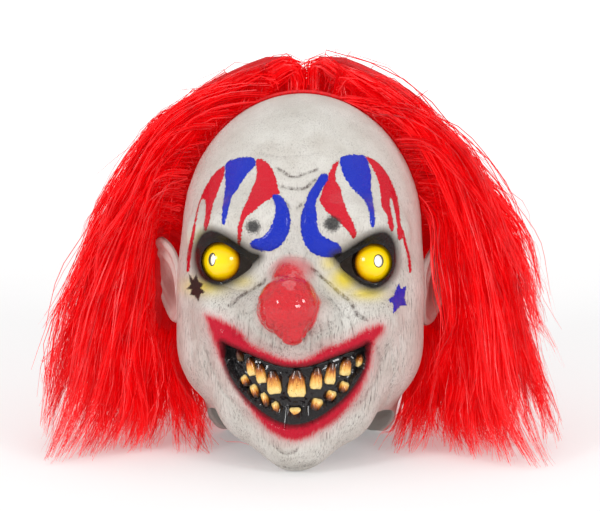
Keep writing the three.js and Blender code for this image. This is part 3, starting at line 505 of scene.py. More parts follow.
def skin_marks(points):
    """How far every point of the skin lies from each paint's edge, in millimetres."""
    across, up = seen(points)
    facing = np.clip((-points[:, 1] - 5) / 25, 0, 1)
    behind = np.where(facing > 0, 0.0, far_off)
    red = nearest_outline(across, up, red_patches)
    for drip in red_drips:
        red = np.minimum(red, line_distance(across, up, open_curve(drip)) - 0.9)
    spot = np.full(len(points), far_off)
    for x, z, reach in spots:
        spot = np.minimum(spot, np.hypot(across - x, up - z) - reach)
    stain = np.zeros(len(points))
    for s in stains:
        off = np.hypot((across - s["x"]) / s["rx"], (up - s["z"]) / s["rz"])
        stain = np.maximum(stain, s["part"] * np.exp(-off * off))
    mouth = mouth_distance(points)
    sunk = np.clip((-head_distance(points) - 2.0) / 3, 0, 1) * (mouth < 1.5)
    return {
        "blue": np.minimum(
            nearest_outline(across, up, blue_patches + blue_crescents),
            outline_distance(across, up, blue_star),
        ) + behind,
        "crescent": nearest_outline(across, up, blue_crescents) + behind,
        "red": red + behind,
        "black": outline_distance(across, up, black_star) + behind,
        "spot": spot + behind,
        "surround": nearest_outline(across, up, eye_surrounds) + behind,
        "lip": outline_distance(across, up, closed_curve(lip_paint)) + behind,
        "mouth": mouth,
        "gum": sunk,
        "nose": nose_distance(points),
        "stain": stain * facing,
        "crease": crease_depth(across, up, facing),
        "facing": facing,
    }


# The skin and its mouth: one latex casting, about 3 mm thick and open at the neck. It is made here
# in a fine front with the eye openings cut through it, and a plainer back under the hair.
front_columns, front_rows = 289, 308
share = np.linspace(-1, 1, front_columns)
front_bearings = 100 * (0.55 * share + 0.45 * share**3)


def wave(points, size, seed):
    """Soft random swelling, as hand-worked clay has, between -1 and 1."""
    dice = np.random.default_rng(seed)
    total = np.zeros(len(points))
    for _ in range(14):
        way = dice.normal(size=3)
        way /= np.linalg.norm(way)
        total += np.sin(points @ way * (2 * math.pi / (size * dice.uniform(0.7, 1.4))) + dice.uniform(0, 6.3))
    return total / 7


# The teeth's places: across is a share of the mouth's half width, root and tip of the face's height
teeth = [
    {"name": "upper_tooth_1", "across": -0.74, "root": 0.322, "tip": 0.29, "width": 0.09, "lean": 8},
    {"name": "upper_tooth_2", "across": -0.587, "root": 0.302, "tip": 0.253, "width": 0.14, "lean": 10},
    {"name": "upper_tooth_3", "across": -0.455, "root": 0.286, "tip": 0.234, "width": 0.15, "lean": 8},
    {"name": "upper_tooth_4", "across": -0.281, "root": 0.268, "tip": 0.206, "width": 0.2, "lean": 6},
    {"name": "upper_tooth_5", "across": 0.034, "root": 0.27, "tip": 0.199, "width": 0.255, "lean": 0},
    {"name": "upper_tooth_6", "across": 0.298, "root": 0.277, "tip": 0.22, "width": 0.174, "lean": -3},
    {"name": "upper_tooth_7", "across": 0.487, "root": 0.29, "tip": 0.233, "width": 0.157, "lean": -5},
    {"name": "upper_tooth_8", "across": 0.685, "root": 0.304, "tip": 0.255, "width": 0.174, "lean": -7},
    {"name": "upper_tooth_9", "across": 0.855, "root": 0.312, "tip": 0.278, "width": 0.09, "lean": -9},
    {"name": "lower_tooth_1", "across": -0.664, "root": 0.223, "tip": 0.253, "width": 0.111, "lean": 24},
    {"name": "lower_tooth_2", "across": -0.536, "root": 0.193, "tip": 0.229, "width": 0.11, "lean": 20},
    {"name": "lower_tooth_3", "across": -0.396, "root": 0.169, "tip": 0.209, "width": 0.1, "lean": 16},
    {"name": "lower_tooth_4", "across": -0.245, "root": 0.15, "tip": 0.184, "width": 0.1, "lean": 20},
    {"name": "lower_tooth_5", "across": 0.01, "root": 0.138, "tip": 0.169, "width": 0.192, "lean": 0},
    {"name": "lower_tooth_6", "across": 0.294, "root": 0.16, "tip": 0.194, "width": 0.16, "lean": -24},
    {"name": "lower_tooth_7", "across": 0.487, "root": 0.186, "tip": 0.215, "width": 0.14, "lean": -26},
    {"name": "lower_tooth_8", "across": 0.66, "root": 0.208, "tip": 0.238, "width": 0.15, "lean": -24},
]


def gum_ridges(points):
    """The gum swells in a ring round each tooth."""
    swell = np.zeros(len(points))
    near = np.flatnonzero((mouth_distance(points) < 2) & (points[:, 1] < -60))
    x, z = points[near, 0], points[near, 2]
    for tooth in teeth:
        lean = math.radians(tooth["lean"])
        off_x = x - tooth["across"] * mouth_half
        off_z = z - (tooth["root"] + tooth["tip"]) / 2 * face_height
        beside = off_x * math.cos(lean) + off_z * math.sin(lean)
        along = off_z * math.cos(lean) - off_x * math.sin(lean)
        beside /= tooth["width"] * mouth_half / 2 + 1.4
        along /= abs(tooth["root"] - tooth["tip"]) * face_height / 2 + 1.6
        ring = np.exp(-(((np.hypot(along, beside) - 1.15) / 0.24) ** 2))
        swell[near] = np.maximum(swell[near], ring)
    return swell


front_outer = patch(front_rows, front_bearings, False)
front_normals = grid_normals(front_outer, front_columns, front_rows)
marks = skin_marks(front_outer)
paint_film = 0.35 * np.clip(0.5 - marks["blue"], 0, 1) + 0.35 * np.clip(0.5 - marks["red"], 0, 1)
crescent_swell = 1.5 * np.sqrt(np.clip(-marks["crescent"] / 3.5, 0, 1))
gum_lumps = 0.4 * wave(front_outer, 7, 3) + 0.35 * wave(front_outer, 3.4, 4) + 0.9 * gum_ridges(front_outer)
gum_lumps *= marks["gum"] * np.clip((-marks["mouth"] - 2.5) / 3, 0, 1)
nose_skin = np.clip(1 - np.maximum(marks["nose"], 0) / 2, 0, 1)
nose_lumps = nose_skin * (0.3 * wave(front_outer, 8, 5) + 0.26 * wave(front_outer, 3.4, 6))
skin_lumps = (0.14 * wave(front_outer, 16, 7) + 0.07 * wave(front_outer, 6, 8)) * (1 - nose_skin)
lip_lumps = 0.3 * np.exp(-((marks["mouth"] - 3) ** 2) / 14) * wave(front_outer * [1, 0.3, 0.3], 5, 9)
rise = paint_film + crescent_swell + gum_lumps + nose_lumps + skin_lumps + lip_lumps - marks["crease"]
front_outer = front_outer + front_normals * rise[:, None]
front_inner = patch(front_rows // 4, front_bearings[::4], True)

# The opening between the lids: round outside, drawn to a point towards the nose, cut slanting above
lid_corners = [
    (-1.3, -0.1), (-0.7, -0.66), (-0.05, -0.88), (0.55, -0.72), (0.9, -0.2), (0.86, 0.35),
    (0.5, 0.76), (0, 0.8), (-0.65, 0.42),
]


def lid_cutter(side):
    outline = closed_curve(lid_corners, 8) * eye_radius
    count = len(outline)
    across = side * (eye_place[0] + outline[:, 0])
    up = eye_place[2] + outline[:, 1]
    near = np.stack([across, np.full(count, eye_place[1]), up], 1)
    front = near + [0, -80, 0]
    ring = np.arange(count)
    faces = [(int(a), int((a + 1) % count), int((a + 1) % count + count), int(a + count)) for a in ring]
    faces += [tuple(ring[::-1].tolist()), tuple((ring + count).tolist())]
    if side < 0:
        faces = [f[::-1] for f in faces]
    return made("lid_cutter", np.vstack([near, front]), faces)


def shell_piece(name, outer, inner, columns, rows):
    second = len(outer)
    few_columns, few_rows = (columns - 1) // 4 + 1, rows // 4
    faces = patch_faces(columns, rows) + patch_faces(few_columns, few_rows, second, True)
    faces += border_faces(patch_border(columns, rows), patch_border(few_columns, few_rows, second))
    return made(name, np.vstack([outer, inner]), faces)


skin_front = shell_piece("skin_front", front_outer, front_inner, front_columns, front_rows)
cutters = [lid_cutter(side) for side in (-1, 1)]
for cutter in cutters:
    cut = skin_front.modifiers.new("lids", "BOOLEAN")
    cut.operation, cut.solver, cut.object = "DIFFERENCE", "MANIFOLD", cutter
graph = bpy.context.evaluated_depsgraph_get()
opened = bpy.data.meshes.new_from_object(skin_front.evaluated_get(graph))
skin_front.modifiers.clear()
skin_front.data = opened
for cutter in cutters:
    bpy.data.objects.remove(cutter)
opened.shade_smooth()
opened.set_sharp_from_angle(angle=math.radians(60))

places = np.empty(len(opened.vertices) * 3)
opened.vertices.foreach_get("co", places)
write_marks(opened, skin_marks(from_row(places.reshape(-1, 3))))

back_columns, back_rows = 97, 128
back_bearings = 100 + 160 * np.linspace(0, 1, back_columns)
back_outer = patch(back_rows, back_bearings, False)
back_inner = patch(back_rows // 4, back_bearings[::4], True)
skin_back = shell_piece("skin_back", back_outer, back_inner, back_columns, back_rows)
write_marks(skin_back.data, skin_marks(np.vstack([back_outer, back_inner])))


class Wire:
    """What comes out of a material's node, with arithmetic."""

    def __init__(self, tree, socket):
        self.tree, self.socket = tree, socket

    def node(self, kind, settings=(), values=(), output=0):
        made_node = self.tree.nodes.new("ShaderNode" + kind)
        for key, value in dict(settings).items():
            if key == "stops":
                ramp = made_node.color_ramp
                while len(ramp.elements) < len(value):
                    ramp.elements.new(1.0)
                for stop, (place, colour) in zip(ramp.elements, value):
                    stop.position, stop.color = place, (*colour, 1.0)
            else:
                setattr(made_node, key, value)
        for key, value in dict(values).items():
            if isinstance(value, Wire):
                self.tree.links.new(value.socket, made_node.inputs[key])
            else:
                made_node.inputs[key].default_value = value
        return Wire(self.tree, made_node.outputs[output])

    def sum(self, kind, *values):
        return self.node("Math", {"operation": kind}, dict(enumerate((self, *values))))

    def __add__(self, other):
        return self.sum("ADD", other)

    __radd__ = __add__

    def __mul__(self, other):
        return self.sum("MULTIPLY", other)

    __rmul__ = __mul__

    def __sub__(self, other):
        return self.sum("SUBTRACT", other)

    def __rsub__(self, other):
        return self.node("Math", {"operation": "SUBTRACT"}, {0: other, 1: self})

    def most(self, other):
        return self.sum("MAXIMUM", other)

    def between(self, low, high, start=0.0, end=1.0):
        """Goes smoothly from start to end while this goes from low to high."""
        span = {"Value": self, "From Min": low, "From Max": high, "To Min": start, "To Max": end}
        return self.node("MapRange", {"interpolation_type": "SMOOTHSTEP"}, span)

    def mark(self, name):
        return self.node("Attribute", {"attribute_name": name}, output=2)

    def noise(self, size, detail=3.0, rough=0.5, stretch=(1, 1, 1)):
        """Noise whose lumps are about size millimetres across, stretched along each axis."""
        scale = tuple(1000 / (size * s) for s in stretch)
        grain = self.node("VectorMath", {"operation": "MULTIPLY"}, {0: self, 1: scale})
        values = {"Vector": grain, "Scale": 1.0, "Detail": detail, "Roughness": rough}
        return self.node("TexNoise", (), values)


def colour(tone):
    return (*tone, 1.0)


def tint(wire, tone, base, mask):
    """A plain colour over another, where the mask is 1."""
    return wire.node("Mix", {"data_type": "RGBA"}, {0: mask, 6: base, 7: colour(tone)}, output=2)


def new_finish(name):
    material = bpy.data.materials.new(name)
    material.use_nodes = True
    tree = material.node_tree
    tree.nodes.clear()
    place = Wire(tree, tree.nodes.new("ShaderNodeTexCoord").outputs["Object"])
    return material, place


def finish_with(place, sockets, bump=None, strength=0.5, distance=0.0005):
    """The surface itself: everything that was mixed goes into one shader."""
    values = dict(sockets)
    if bump is not None:
        relief = {"Height": bump, "Strength": strength, "Distance": distance}
        values["Normal"] = place.node("Bump", (), relief)
    surface = place.node("BsdfPrincipled", (), values)
    end = place.tree.nodes.new("ShaderNodeOutputMaterial")
    place.tree.links.new(surface.socket, end.inputs["Surface"])


def latex_finish():
    """Off-white latex, washed with thin dark paint and wiped, then painted and glazed."""
    material, place = new_finish("painted_latex")
    fine = place.noise(0.9, 2.0)
    edge = (place.noise(1.6, 3.0, 0.6) - 0.5) * 4.5
    blotch = place.noise(22, 3.0)
    facing = place.mark("facing")
    skin = place.node("ValToRGB", {"stops": [(0.3, (0.63, 0.59, 0.535)), (0.7, (0.75, 0.725, 0.675))]},
                      {"Fac": blotch})
    # Dark wash, wiped off the skin and left in the folds and in the brush marks
    strokes = place.noise(1.1, 4.0, 0.7, (1, 1, 8))
    hairlines = place.noise(0.8, 3.0, 0.6, (1, 1, 20))
    low = place.node("SeparateXYZ", (), {0: place}, output=2).between(0.10, 0.21, 1.0, 0.45)
    skin = tint(place, (0.33, 0.29, 0.26), skin, strokes.between(0.46, 0.70) * 0.7 * facing * low)
    streaks = hairlines.between(0.57, 0.66) * place.noise(16, 2.0).between(0.42, 0.58) * low
    broken = place.noise(3.0, 3.0, 0.7).between(0.36, 0.6)
    folds = (place.mark("crease") * (0.2 + strokes * 1.5)).between(0.3, 1.3, 0, 0.85) * (broken * 0.75 + 0.2)
    speckle = place.noise(0.8, 2.0).between(0.66, 0.72) * place.noise(12, 2.0).between(0.48, 0.62)
    wash = folds.most(streaks * 0.8 * facing).most(speckle * 0.6 * facing)
    skin = tint(place, (0.07, 0.045, 0.04), skin, wash)
    skin = tint(place, (0.88, 0.70, 0.08), skin, place.mark("stain") * (0.7 + blotch * 0.8))
    # Red round the mouth and on the nose, sprayed thin at its edge
    lip = place.mark("lip")
    mouth = place.mark("mouth")
    haze = (lip + (blotch - 0.5) * 8).between(0, 9, 0.22, 0)
    skin = tint(place, (0.62, 0.10, 0.13), skin, haze)
    spray = (lip + (strokes - 0.5) * 9).between(-3.0, 2.6, 1, 0)
    skin = tint(place, (0.54, 0.001, 0.022), skin, spray)
    near_gum = (mouth + edge * 0.7).between(0.3, 4.5, 1, 0) * facing
    skin = tint(place, (0.09, 0.0, 0.004), skin, near_gum * 0.85)
    nose = place.mark("nose")
    high = place.node("SeparateXYZ", (), {0: place}, output=2).between(0.140, 0.156)
    blush = (nose + (strokes - 0.5) * 5).between(0.5, 8.0, 0.75, 0) * (high * 0.8 + 0.2)
    skin = tint(place, (0.62, 0.02, 0.04), skin, blush)
    ball = (nose + edge * 0.25).between(0.3, 1.7, 1, 0)
    skin = tint(place, (0.70, 0.002, 0.012), skin, ball)
    skin = tint(place, (0.42, 0.001, 0.008), skin, ball * place.noise(3.0, 3.0).between(0.5, 0.68) * 0.45)
    # Enamel on the brow and the cheeks
    red = (place.mark("red") + edge * 0.75).between(-0.05, 0.25, 1, 0)
    skin = tint(place, (0.66, 0.003, 0.02), skin, red)
    blue = (place.mark("blue") + edge * 0.75).between(-0.05, 0.25, 1, 0)
    skin = tint(place, (0.001, 0.022, 0.50), skin, blue)
    black = (place.mark("black") + (fine - 0.5) * 3).between(-0.4, 0.5, 1, 0)
    skin = tint(place, (0.030, 0.014, 0.012), skin, black)
    mottle = place.noise(1.4, 3.0, 0.7)
    spot = (place.mark("spot") + (mottle - 0.5) * 9).between(-1.6, 2.6, 1, 0)
    skin = tint(place, (0.016, 0.016, 0.018), skin, spot * (0.72 + mottle * 0.4))
    # Black round the eyes, airbrushed past its edge, and in the mouth
    surround = place.mark("surround")
    airbrush = (surround + (strokes - 0.5) * 4).between(-0.5, 6.5, 0.8, 0)
    skin = tint(place, (0.03, 0.02, 0.014), skin, airbrush)
    lids = (surround + edge * 0.3).between(-1.0, 0.9, 1, 0)
    skin = tint(place, (0.004, 0.003, 0.003), skin, lids)
    inside = (mouth + edge * 0.25).between(-0.7, 0.9, 1, 0) * facing.between(0.5, 0.9)
    gum = place.mark("gum").between(0.2, 0.7).most(inside)
    skin = tint(place, (0.004, 0.002, 0.003), skin, gum)
    gloss = red.most(blue).most(ball).most(lids * 0.9).most(gum).most(spray * 0.35)
    rough = 0.56 - gloss * 0.34 + (fine - 0.5) * 0.15
    relief = strokes * 1.6 + hairlines * 0.8 + fine * 0.3 + gloss * place.noise(1.7, 2.0) * 1.8
    coat = (gloss * 0.22).most(ball * 0.9).most(gum * 0.8)
    sockets = {"Base Color": skin, "Roughness": rough, "Specular IOR Level": 0.22, "Coat Weight": coat,
               "Coat Roughness": 0.08}
    finish_with(place, sockets, relief, 0.8, 0.0012)
    return material


painted_latex = latex_finish()
for skin in (skin_front, skin_back):
    skin.data.materials.clear()
    skin.data.materials.append(painted_latex)
    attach(skin, "root")
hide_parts("face_shell")
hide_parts("skull_shell")

# The eyes: two domes of thin plastic, glued in behind the lids and glazed yellow. The wearer looks
# through a hole at the middle of each, which a disc of white gauze closes from behind.
eye_wall = 2.5
pupil_height = 4.2
eyes = [
    {"word": "left", "side": -1, "gaze": -27, "pupil_width": 0.6},
    {"word": "right", "side": 1, "gaze": 21, "pupil_width": 0.78},
]


def turned_to(way, points):
    """Turns points that are made about the z axis so that they face a way, upright."""
    side = np.cross([0, 0, 1.0], way)
    side /= np.linalg.norm(side)
    return points @ np.stack([side, np.cross(way, side), way])


def turned_profile(profile, around):
    """Spins a closed profile of (radius, height) pairs about the z axis."""
    profile = np.array(profile)
    turn = np.linspace(0, 2 * math.pi, around, endpoint=False)
    points = np.stack([
        np.outer(np.cos(turn), profile[:, 0]),
        np.outer(np.sin(turn), profile[:, 0]),
        np.broadcast_to(profile[:, 1], (around, len(profile))),
    ], -1).reshape(-1, 3)
    count = len(profile)
    faces = []
    for i in range(around):
        for k in range(count):
            a, b = i * count + k, i * count + (k + 1) % count
            c, d = ((i + 1) % around) * count + (k + 1) % count, ((i + 1) % around) * count + k
            faces.append((a, d, c, b))
    return points, faces


def eye_finish():
    material, place = new_finish("glazed_eye")
    rim = place.mark("rim")
    inward = place.mark("inward")
    vein = place.noise(1.4, 4.0, 0.6)
    # The yellow darkens to near black towards the dome's rim under the lids and towards the nose: painted
    # shade.
    yellow = place.node("ValToRGB", {"stops": [
        (0.0, (1.0, 0.72, 0.0)), (0.5, (0.98, 0.62, 0.0)), (0.74, (0.72, 0.32, 0.0)),
        (0.9, (0.22, 0.07, 0.0)), (1.0, (0.012, 0.006, 0.003))]},
        {"Fac": rim + inward * 0.3 + (vein - 0.5) * 0.16})
    ring = (place.mark("pupil") + (vein - 0.5) * 0.2).between(0.55, 0.85, 1, 0)
    yellow = tint(place, (0.004, 0.004, 0.004), yellow, ring)
    sockets = {"Base Color": yellow, "Roughness": 0.16, "Specular IOR Level": 0.3, "Coat Weight": 0.35,
               "Coat Roughness": 0.04}
    finish_with(place, sockets, place.noise(2.4, 2.0), 0.12, 0.0004)
    return material


def gauze_finish():
    material, place = new_finish("white_gauze")
    weave = {"wave_type": "BANDS", "bands_direction": "X"}
    across = place.node("TexWave", weave, {"Vector": place, "Scale": 500.0})
    tone = tint(place, (0.97, 0.97, 0.95), colour((0.86, 0.86, 0.84)), across)
    # The gauze glows as if lit from inside the head: painted light.
    sockets = {"Base Color": tone, "Roughness": 0.8, "Emission Color": tone, "Emission Strength": 0.7}
    finish_with(place, sockets, across, 0.2, 0.0002)
    return material


glazed_eye, white_gauze = eye_finish(), gauze_finish()
for eye in eyes:
    side, way = eye["side"], ways_of(eye["gaze"], 5.0)
    edge_angle = math.radians(76)
    inside = eye_radius - eye_wall
    outer_angles = np.linspace(math.asin(pupil_height / eye_radius), edge_angle, 30)
    inner_angles = np.linspace(edge_angle, math.asin(pupil_height / inside), 14)
    profile = [(eye_radius * math.sin(a), eye_radius * math.cos(a)) for a in outer_angles]
    profile += [(inside * math.sin(a), inside * math.cos(a)) for a in inner_angles]
    points, faces = turned_profile(profile, 96)
    off_axis = np.hypot(points[:, 0], points[:, 1])
    # The hole is an upright oval
    reach = np.linalg.norm(points, axis=1)
    away = np.clip((off_axis - pupil_height) / 8, 0, 1)
    points[:, 0] *= eye["pupil_width"] + (1 - eye["pupil_width"]) * away * away * (3 - 2 * away)
    points[:, 2] = np.sqrt(reach**2 - points[:, 0] ** 2 - points[:, 1] ** 2)
    centre = np.array([side * eye_place[0], eye_place[1], eye_place[2]])
    points = turned_to(way, points) + centre
    # The rim and inward marks carry the eye's painted shade: darker away from the middle and towards the
    # nose.
    across, up = seen(points)
    seen_centre = seen(centre[None])
    lowered = np.hypot(across - seen_centre[0] - side * 1.0, up - seen_centre[1] + 0.5) / 15.0
    marks = {
        "rim": np.clip(lowered, 0, 1.2) ** 2,
        "inward": np.clip(-side * (across - seen_centre[0]) / 15 - 0.2 * (up - seen_centre[1]) / 15, -1, 1),
        "pupil": off_axis - pupil_height,
    }
    dome = made("eye_shell_" + eye["word"], points, faces, marks)
    dome.data.set_sharp_from_angle(angle=math.radians(50))
    dome.data.materials.append(glazed_eye)
    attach(dome, "root")
    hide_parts("eye_dome_" + eye["word"])
    disc = [(0.01, 13.2), (5.0, 12.65), (7.2, 11.05), (7.1, 10.7), (4.9, 12.2), (0.01, 12.8)]
    points, faces = turned_profile(disc, 48)
    gauze = made("eye_gauze_" + eye["word"], turned_to(way, points) + centre, faces)
    gauze.data.materials.append(white_gauze)
    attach(gauze, "root")

# The teeth: seventeen pegs of glazed hard plastic, set into the gums side by side. Each is dark at
# its root and pale at its biting edge.
tooth_stand = 5.0


def gum_point(x, z):
    point = np.array([[x, -109.0, z]])
    for _ in range(40):
        point[0, 1] += 0.7 * (head_distance(point)[0] + gum_depth)
    return point[0]


def tooth_form(tooth, seed):
    """Rings of points from root to biting edge, and how far along each lies."""
    dice = np.random.default_rng(seed)
    length = (tooth["root"] - tooth["tip"]) * face_height
    upper, tall = length > 0, abs(length)
    width = tooth["width"] * mouth_half
    root_share = 0.45 if upper else 0.6
    around, along = 28, 22
    fall = np.linspace(0, 1, along)
    half = width / 2 * np.interp(fall, [0, 0.3, 0.62, 0.86, 1], [root_share, 0.8, 0.95, 1.0, 0.8])
    depth = np.interp(fall, [0, 0.35, 0.8, 1], [0.8, 1.0, 0.86, 0.5]) * tooth_stand
    turn = np.linspace(0, 2 * math.pi, around, endpoint=False)
    rings = []
    for k, t in enumerate(fall):
        across = np.sign(np.cos(turn)) * np.abs(np.cos(turn)) ** 0.75 * half[k]
        out = np.sign(np.sin(turn)) * np.abs(np.sin(turn)) ** 0.75
        out = np.where(out > 0, out * depth[k], out * 2.0)
        jag = 0.35 * np.sin(across / width * 9 + dice.uniform(0, 0.2)) * t**6
        up = tall * (0.5 - t) + jag
        rings.append(np.stack([across, up, out], 1))
    rings.append(np.array([[0, tall * -0.5 - 0.25, 0.8]]))
    rings.insert(0, np.array([[0, tall * 0.5 + 0.2, 0.8]]))
    points = np.vstack(rings)
    faces = []
    for j in range(around):
        k = (j + 1) % around
        faces.append((0, 1 + k, 1 + j))
        for i in range(along - 1):
            a = 1 + i * around
            faces.append((a + j, a + k, a + around + k, a + around + j))
        last = 1 + (along - 1) * around
        faces.append((last + j, last + k, len(points) - 1))
    shares = np.concatenate([[0], np.repeat(fall, around), [1]])
    if not upper:
        points = points * [-1, -1, 1]
    lean = math.radians(tooth["lean"])
    spun = points.copy()
    spun[:, 0] = points[:, 0] * math.cos(lean) - points[:, 1] * math.sin(lean)
    spun[:, 1] = points[:, 0] * math.sin(lean) + points[:, 1] * math.cos(lean)
    x, z = tooth["across"] * mouth_half, (tooth["root"] + tooth["tip"]) / 2 * face_height
    seat = gum_point(x, z)
    ahead = gum_point(x + 1, z) - gum_point(x - 1, z)
    ahead /= np.linalg.norm(ahead)
    out = np.array([ahead[1], -ahead[0], 0])
    out /= np.linalg.norm(out)
    side = np.array([-out[1], out[0], 0])
    placed = seat + spun[:, :1] * side + spun[:, 1:2] * np.array([0, 0, 1.0]) + spun[:, 2:] * out
    return placed, faces, shares


def tooth_finish(name, dirt):
    material, place = new_finish(name)
    along = place.mark("along")
    streak = place.noise(0.9, 3.0, 0.6, (1, 1, 7))
    tone = place.node("ValToRGB", {"stops": [
        (0.0, (0.012, 0.005, 0.003)), (0.2, (0.08, 0.018, 0.004)), (0.4, (0.46, 0.12, 0.012)),
        (0.62, (0.84, 0.42, 0.08)), (0.85, (0.95, 0.70, 0.24)), (1.0, (0.88, 0.66, 0.28))]},
        {"Fac": along + (streak - 0.5) * 0.75})
    pit = place.noise(0.7, 2.0).between(0.62, 0.7) * 0.7
    tone = tint(place, (0.03, 0.012, 0.006), tone, pit)
    tone = tint(place, (0.05, 0.004, 0.006), tone, dirt)
    sockets = {"Base Color": tone, "Roughness": 0.2, "Specular IOR Level": 0.35, "Coat Weight": 0.4,
               "Coat Roughness": 0.08}
    finish_with(place, sockets, streak + place.noise(2.2, 2.0), 0.35, 0.0005)
    return material


glazed_tooth, rotten_tooth = tooth_finish("glazed_tooth", 0.0), tooth_finish("rotten_tooth", 0.9)
for number, tooth in enumerate(teeth):
    points, faces, shares = tooth_form(tooth, 40 + number)
    peg = made(tooth["name"].replace("tooth", "peg"), points, faces, {"along": shares})
    peg.data.materials.append(rotten_tooth if tooth["name"] == "upper_tooth_1" else glazed_tooth)
    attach(peg, "root")
    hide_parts(tooth["name"])

# The ears: two leaves of the same latex, cast with the head, with a rolled edge that comes to a
# point, a fold inside it and a bowl. They stand off behind the cheeks.
ear_leaf = [
    (0, 0.28), (-0.1, 0.6), (0.08, 0.84), (0.55, 0.98), (0.92, 0.9), (1.0, 0.66), (0.82, 0.42),
    (0.6, 0.16), (0.34, 0.0), (0.1, 0.06),
]
ear_width, ear_height, ear_thickness, ear_bottom = 35.0, 66.0, 5.0, 105.0
ear_flare, ear_tilt = math.radians(35), math.radians(9)


def ear_form(side):
    outline = closed_curve([(a * ear_width, u * ear_height) for a, u in ear_leaf], 12)
    middle = np.array([0.46 * ear_width, 0.5 * ear_height])
    around, across = len(outline), 26
    rings, hollow_shade = [], []
    for k in range(across + 1):
        share = 1 - k / across
        ring = middle + (outline - middle) * share
        back, up = ring[:, 0] / ear_width, ring[:, 1] / ear_height
        rim = math.exp(-(((share - 0.9) / 0.1) ** 2))
        fold = np.exp(-(((share - 0.62 + 0.06 * np.sin(back * 5)) / 0.09) ** 2)) * np.clip(up * 3 - 0.7, 0, 1)
        bowl = np.exp(-(((back - 0.3) / 0.26) ** 2) - (((up - 0.4) / 0.2) ** 2))
        flap = np.exp(-(((back + 0.02) / 0.12) ** 2) - (((up - 0.38) / 0.08) ** 2))
        edge = -3.0 * max(0.0, (share - 0.93) / 0.07) ** 2
        height = 2.6 + 2.0 * rim + 1.7 * fold - 2.0 * bowl + 1.5 * flap + edge
        rings.append(np.stack([ring[:, 0], ring[:, 1], height], 1))
        # Darker where the leaf is low, in the bowl and the folds: painted shade.
        hollow_shade.append(np.clip((3.6 - height) / 3, 0, 1.3))
    under = [np.stack([r[:, 0], r[:, 1], np.full(around, h)], 1)
             for r, h in ((rings[0], 0.6), (rings[2], 0.0), (rings[-8], 0.3))]
    points = np.vstack(rings[:-1] + [rings[-1].mean(0)[None]] + under)
    faces = []
    for k in range(across - 1):
        for j in range(around):
            a, b = k * around + j, k * around + (j + 1) % around
            faces.append((a, b, b + around, a + around))
    hub = across * around
    first = hub + 1
    for j in range(around):
        n = (j + 1) % around
        faces.append(((across - 1) * around + j, (across - 1) * around + n, hub))
        faces.append((first + j, first + n, n, j))
        for k in range(2):
            a, b = first + k * around + j, first + k * around + n
            faces.append((a, a + around, b + around, b))
    last = first + 2 * around
    faces.append(tuple(range(last, last + around)))
    shade = np.concatenate([np.concatenate(hollow_shade[:-1]), [hollow_shade[-1].mean()], np.zeros(3 * around)])
    back = np.array([math.sin(ear_flare), math.cos(ear_flare), 0])
    up = np.array([math.sin(ear_tilt), 0, math.cos(ear_tilt)])
    out = np.cross(back, up)
    out /= np.linalg.norm(out)
    up = np.cross(out, back)
    way = np.array([1, 0.04, 0])
    root = trace((way / np.linalg.norm(way))[None], head_distance)[0]
    base = np.array([root[0] - ear_thickness, root[1], ear_bottom])
    placed = base + points[:, :1] * back + points[:, 1:2] * up + points[:, 2:] * out
    if side < 0:
        placed = placed * [-1, 1, 1]
        faces = [f[::-1] for f in faces]
    return placed, faces, shade


def ear_finish():
    material, place = new_finish("ear_latex")
    shade = place.mark("shade")
    blotch = place.noise(14, 3.0)
    tone = place.node("ValToRGB", {"stops": [(0.3, (0.60, 0.50, 0.46)), (0.7, (0.72, 0.66, 0.61))]},
                      {"Fac": blotch})
    # Reddish-brown painted shade in the ear's hollows.
    tone = tint(place, (0.30, 0.13, 0.11), tone, shade.between(0.25, 1.0, 0, 0.75))
    finish_with(place, {"Base Color": tone, "Roughness": 0.55}, place.noise(1.6, 3.0), 0.4, 0.0006)
    return material


ear_latex = ear_finish()
for side in (-1, 1):
    points, faces, shade = ear_form(side)
    ear = made("ear_" + ("left" if side < 0 else "right"), points, faces, {"shade": shade})
    ear.data.materials.append(ear_latex)
    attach(ear, "root")

# The wig: long straight fibre hair, bright red, sewn in wefts to a thin base that is glued to the
# head behind the hairline. It is parted at the crown, where a tuft stands up, and falls in uneven
# wisps to the table.
hair_reach, hair_top, hair_back, hair_front = 197.0, 315.0, 150.0, 48.0
# The guides run inside the outline, and the strands' own spread reaches it
curtain_inset, tip_inset = 18, 8
hair_outline = [
    (0.97, 0.0), (0.97, 0.08), (0.955, 0.16), (0.945, 0.24), (0.905, 0.32), (0.895, 0.4), (0.87, 0.46),
    (0.83, 0.53), (0.81, 0.58), (0.765, 0.626), (0.715, 0.672), (0.645, 0.718), (0.565, 0.764),
    (0.49, 0.81), (0.42, 0.85), (0.32, 0.885), (0.18, 0.92), (0.08, 0.95), (0, 0.98),
]


def unit(vectors):
    return vectors / np.maximum(np.linalg.norm(vectors, axis=-1, keepdims=True), 1e-9)


def hair_width_at(z):
    heights, widths = zip(*hair_outline[::-1])
    return hair_reach * np.interp(z / hair_top, heights, widths)


def on_table(x, y, height):
    return from_row((np.stack([x, y + stand_shift[1], height], -1)) / 1000)


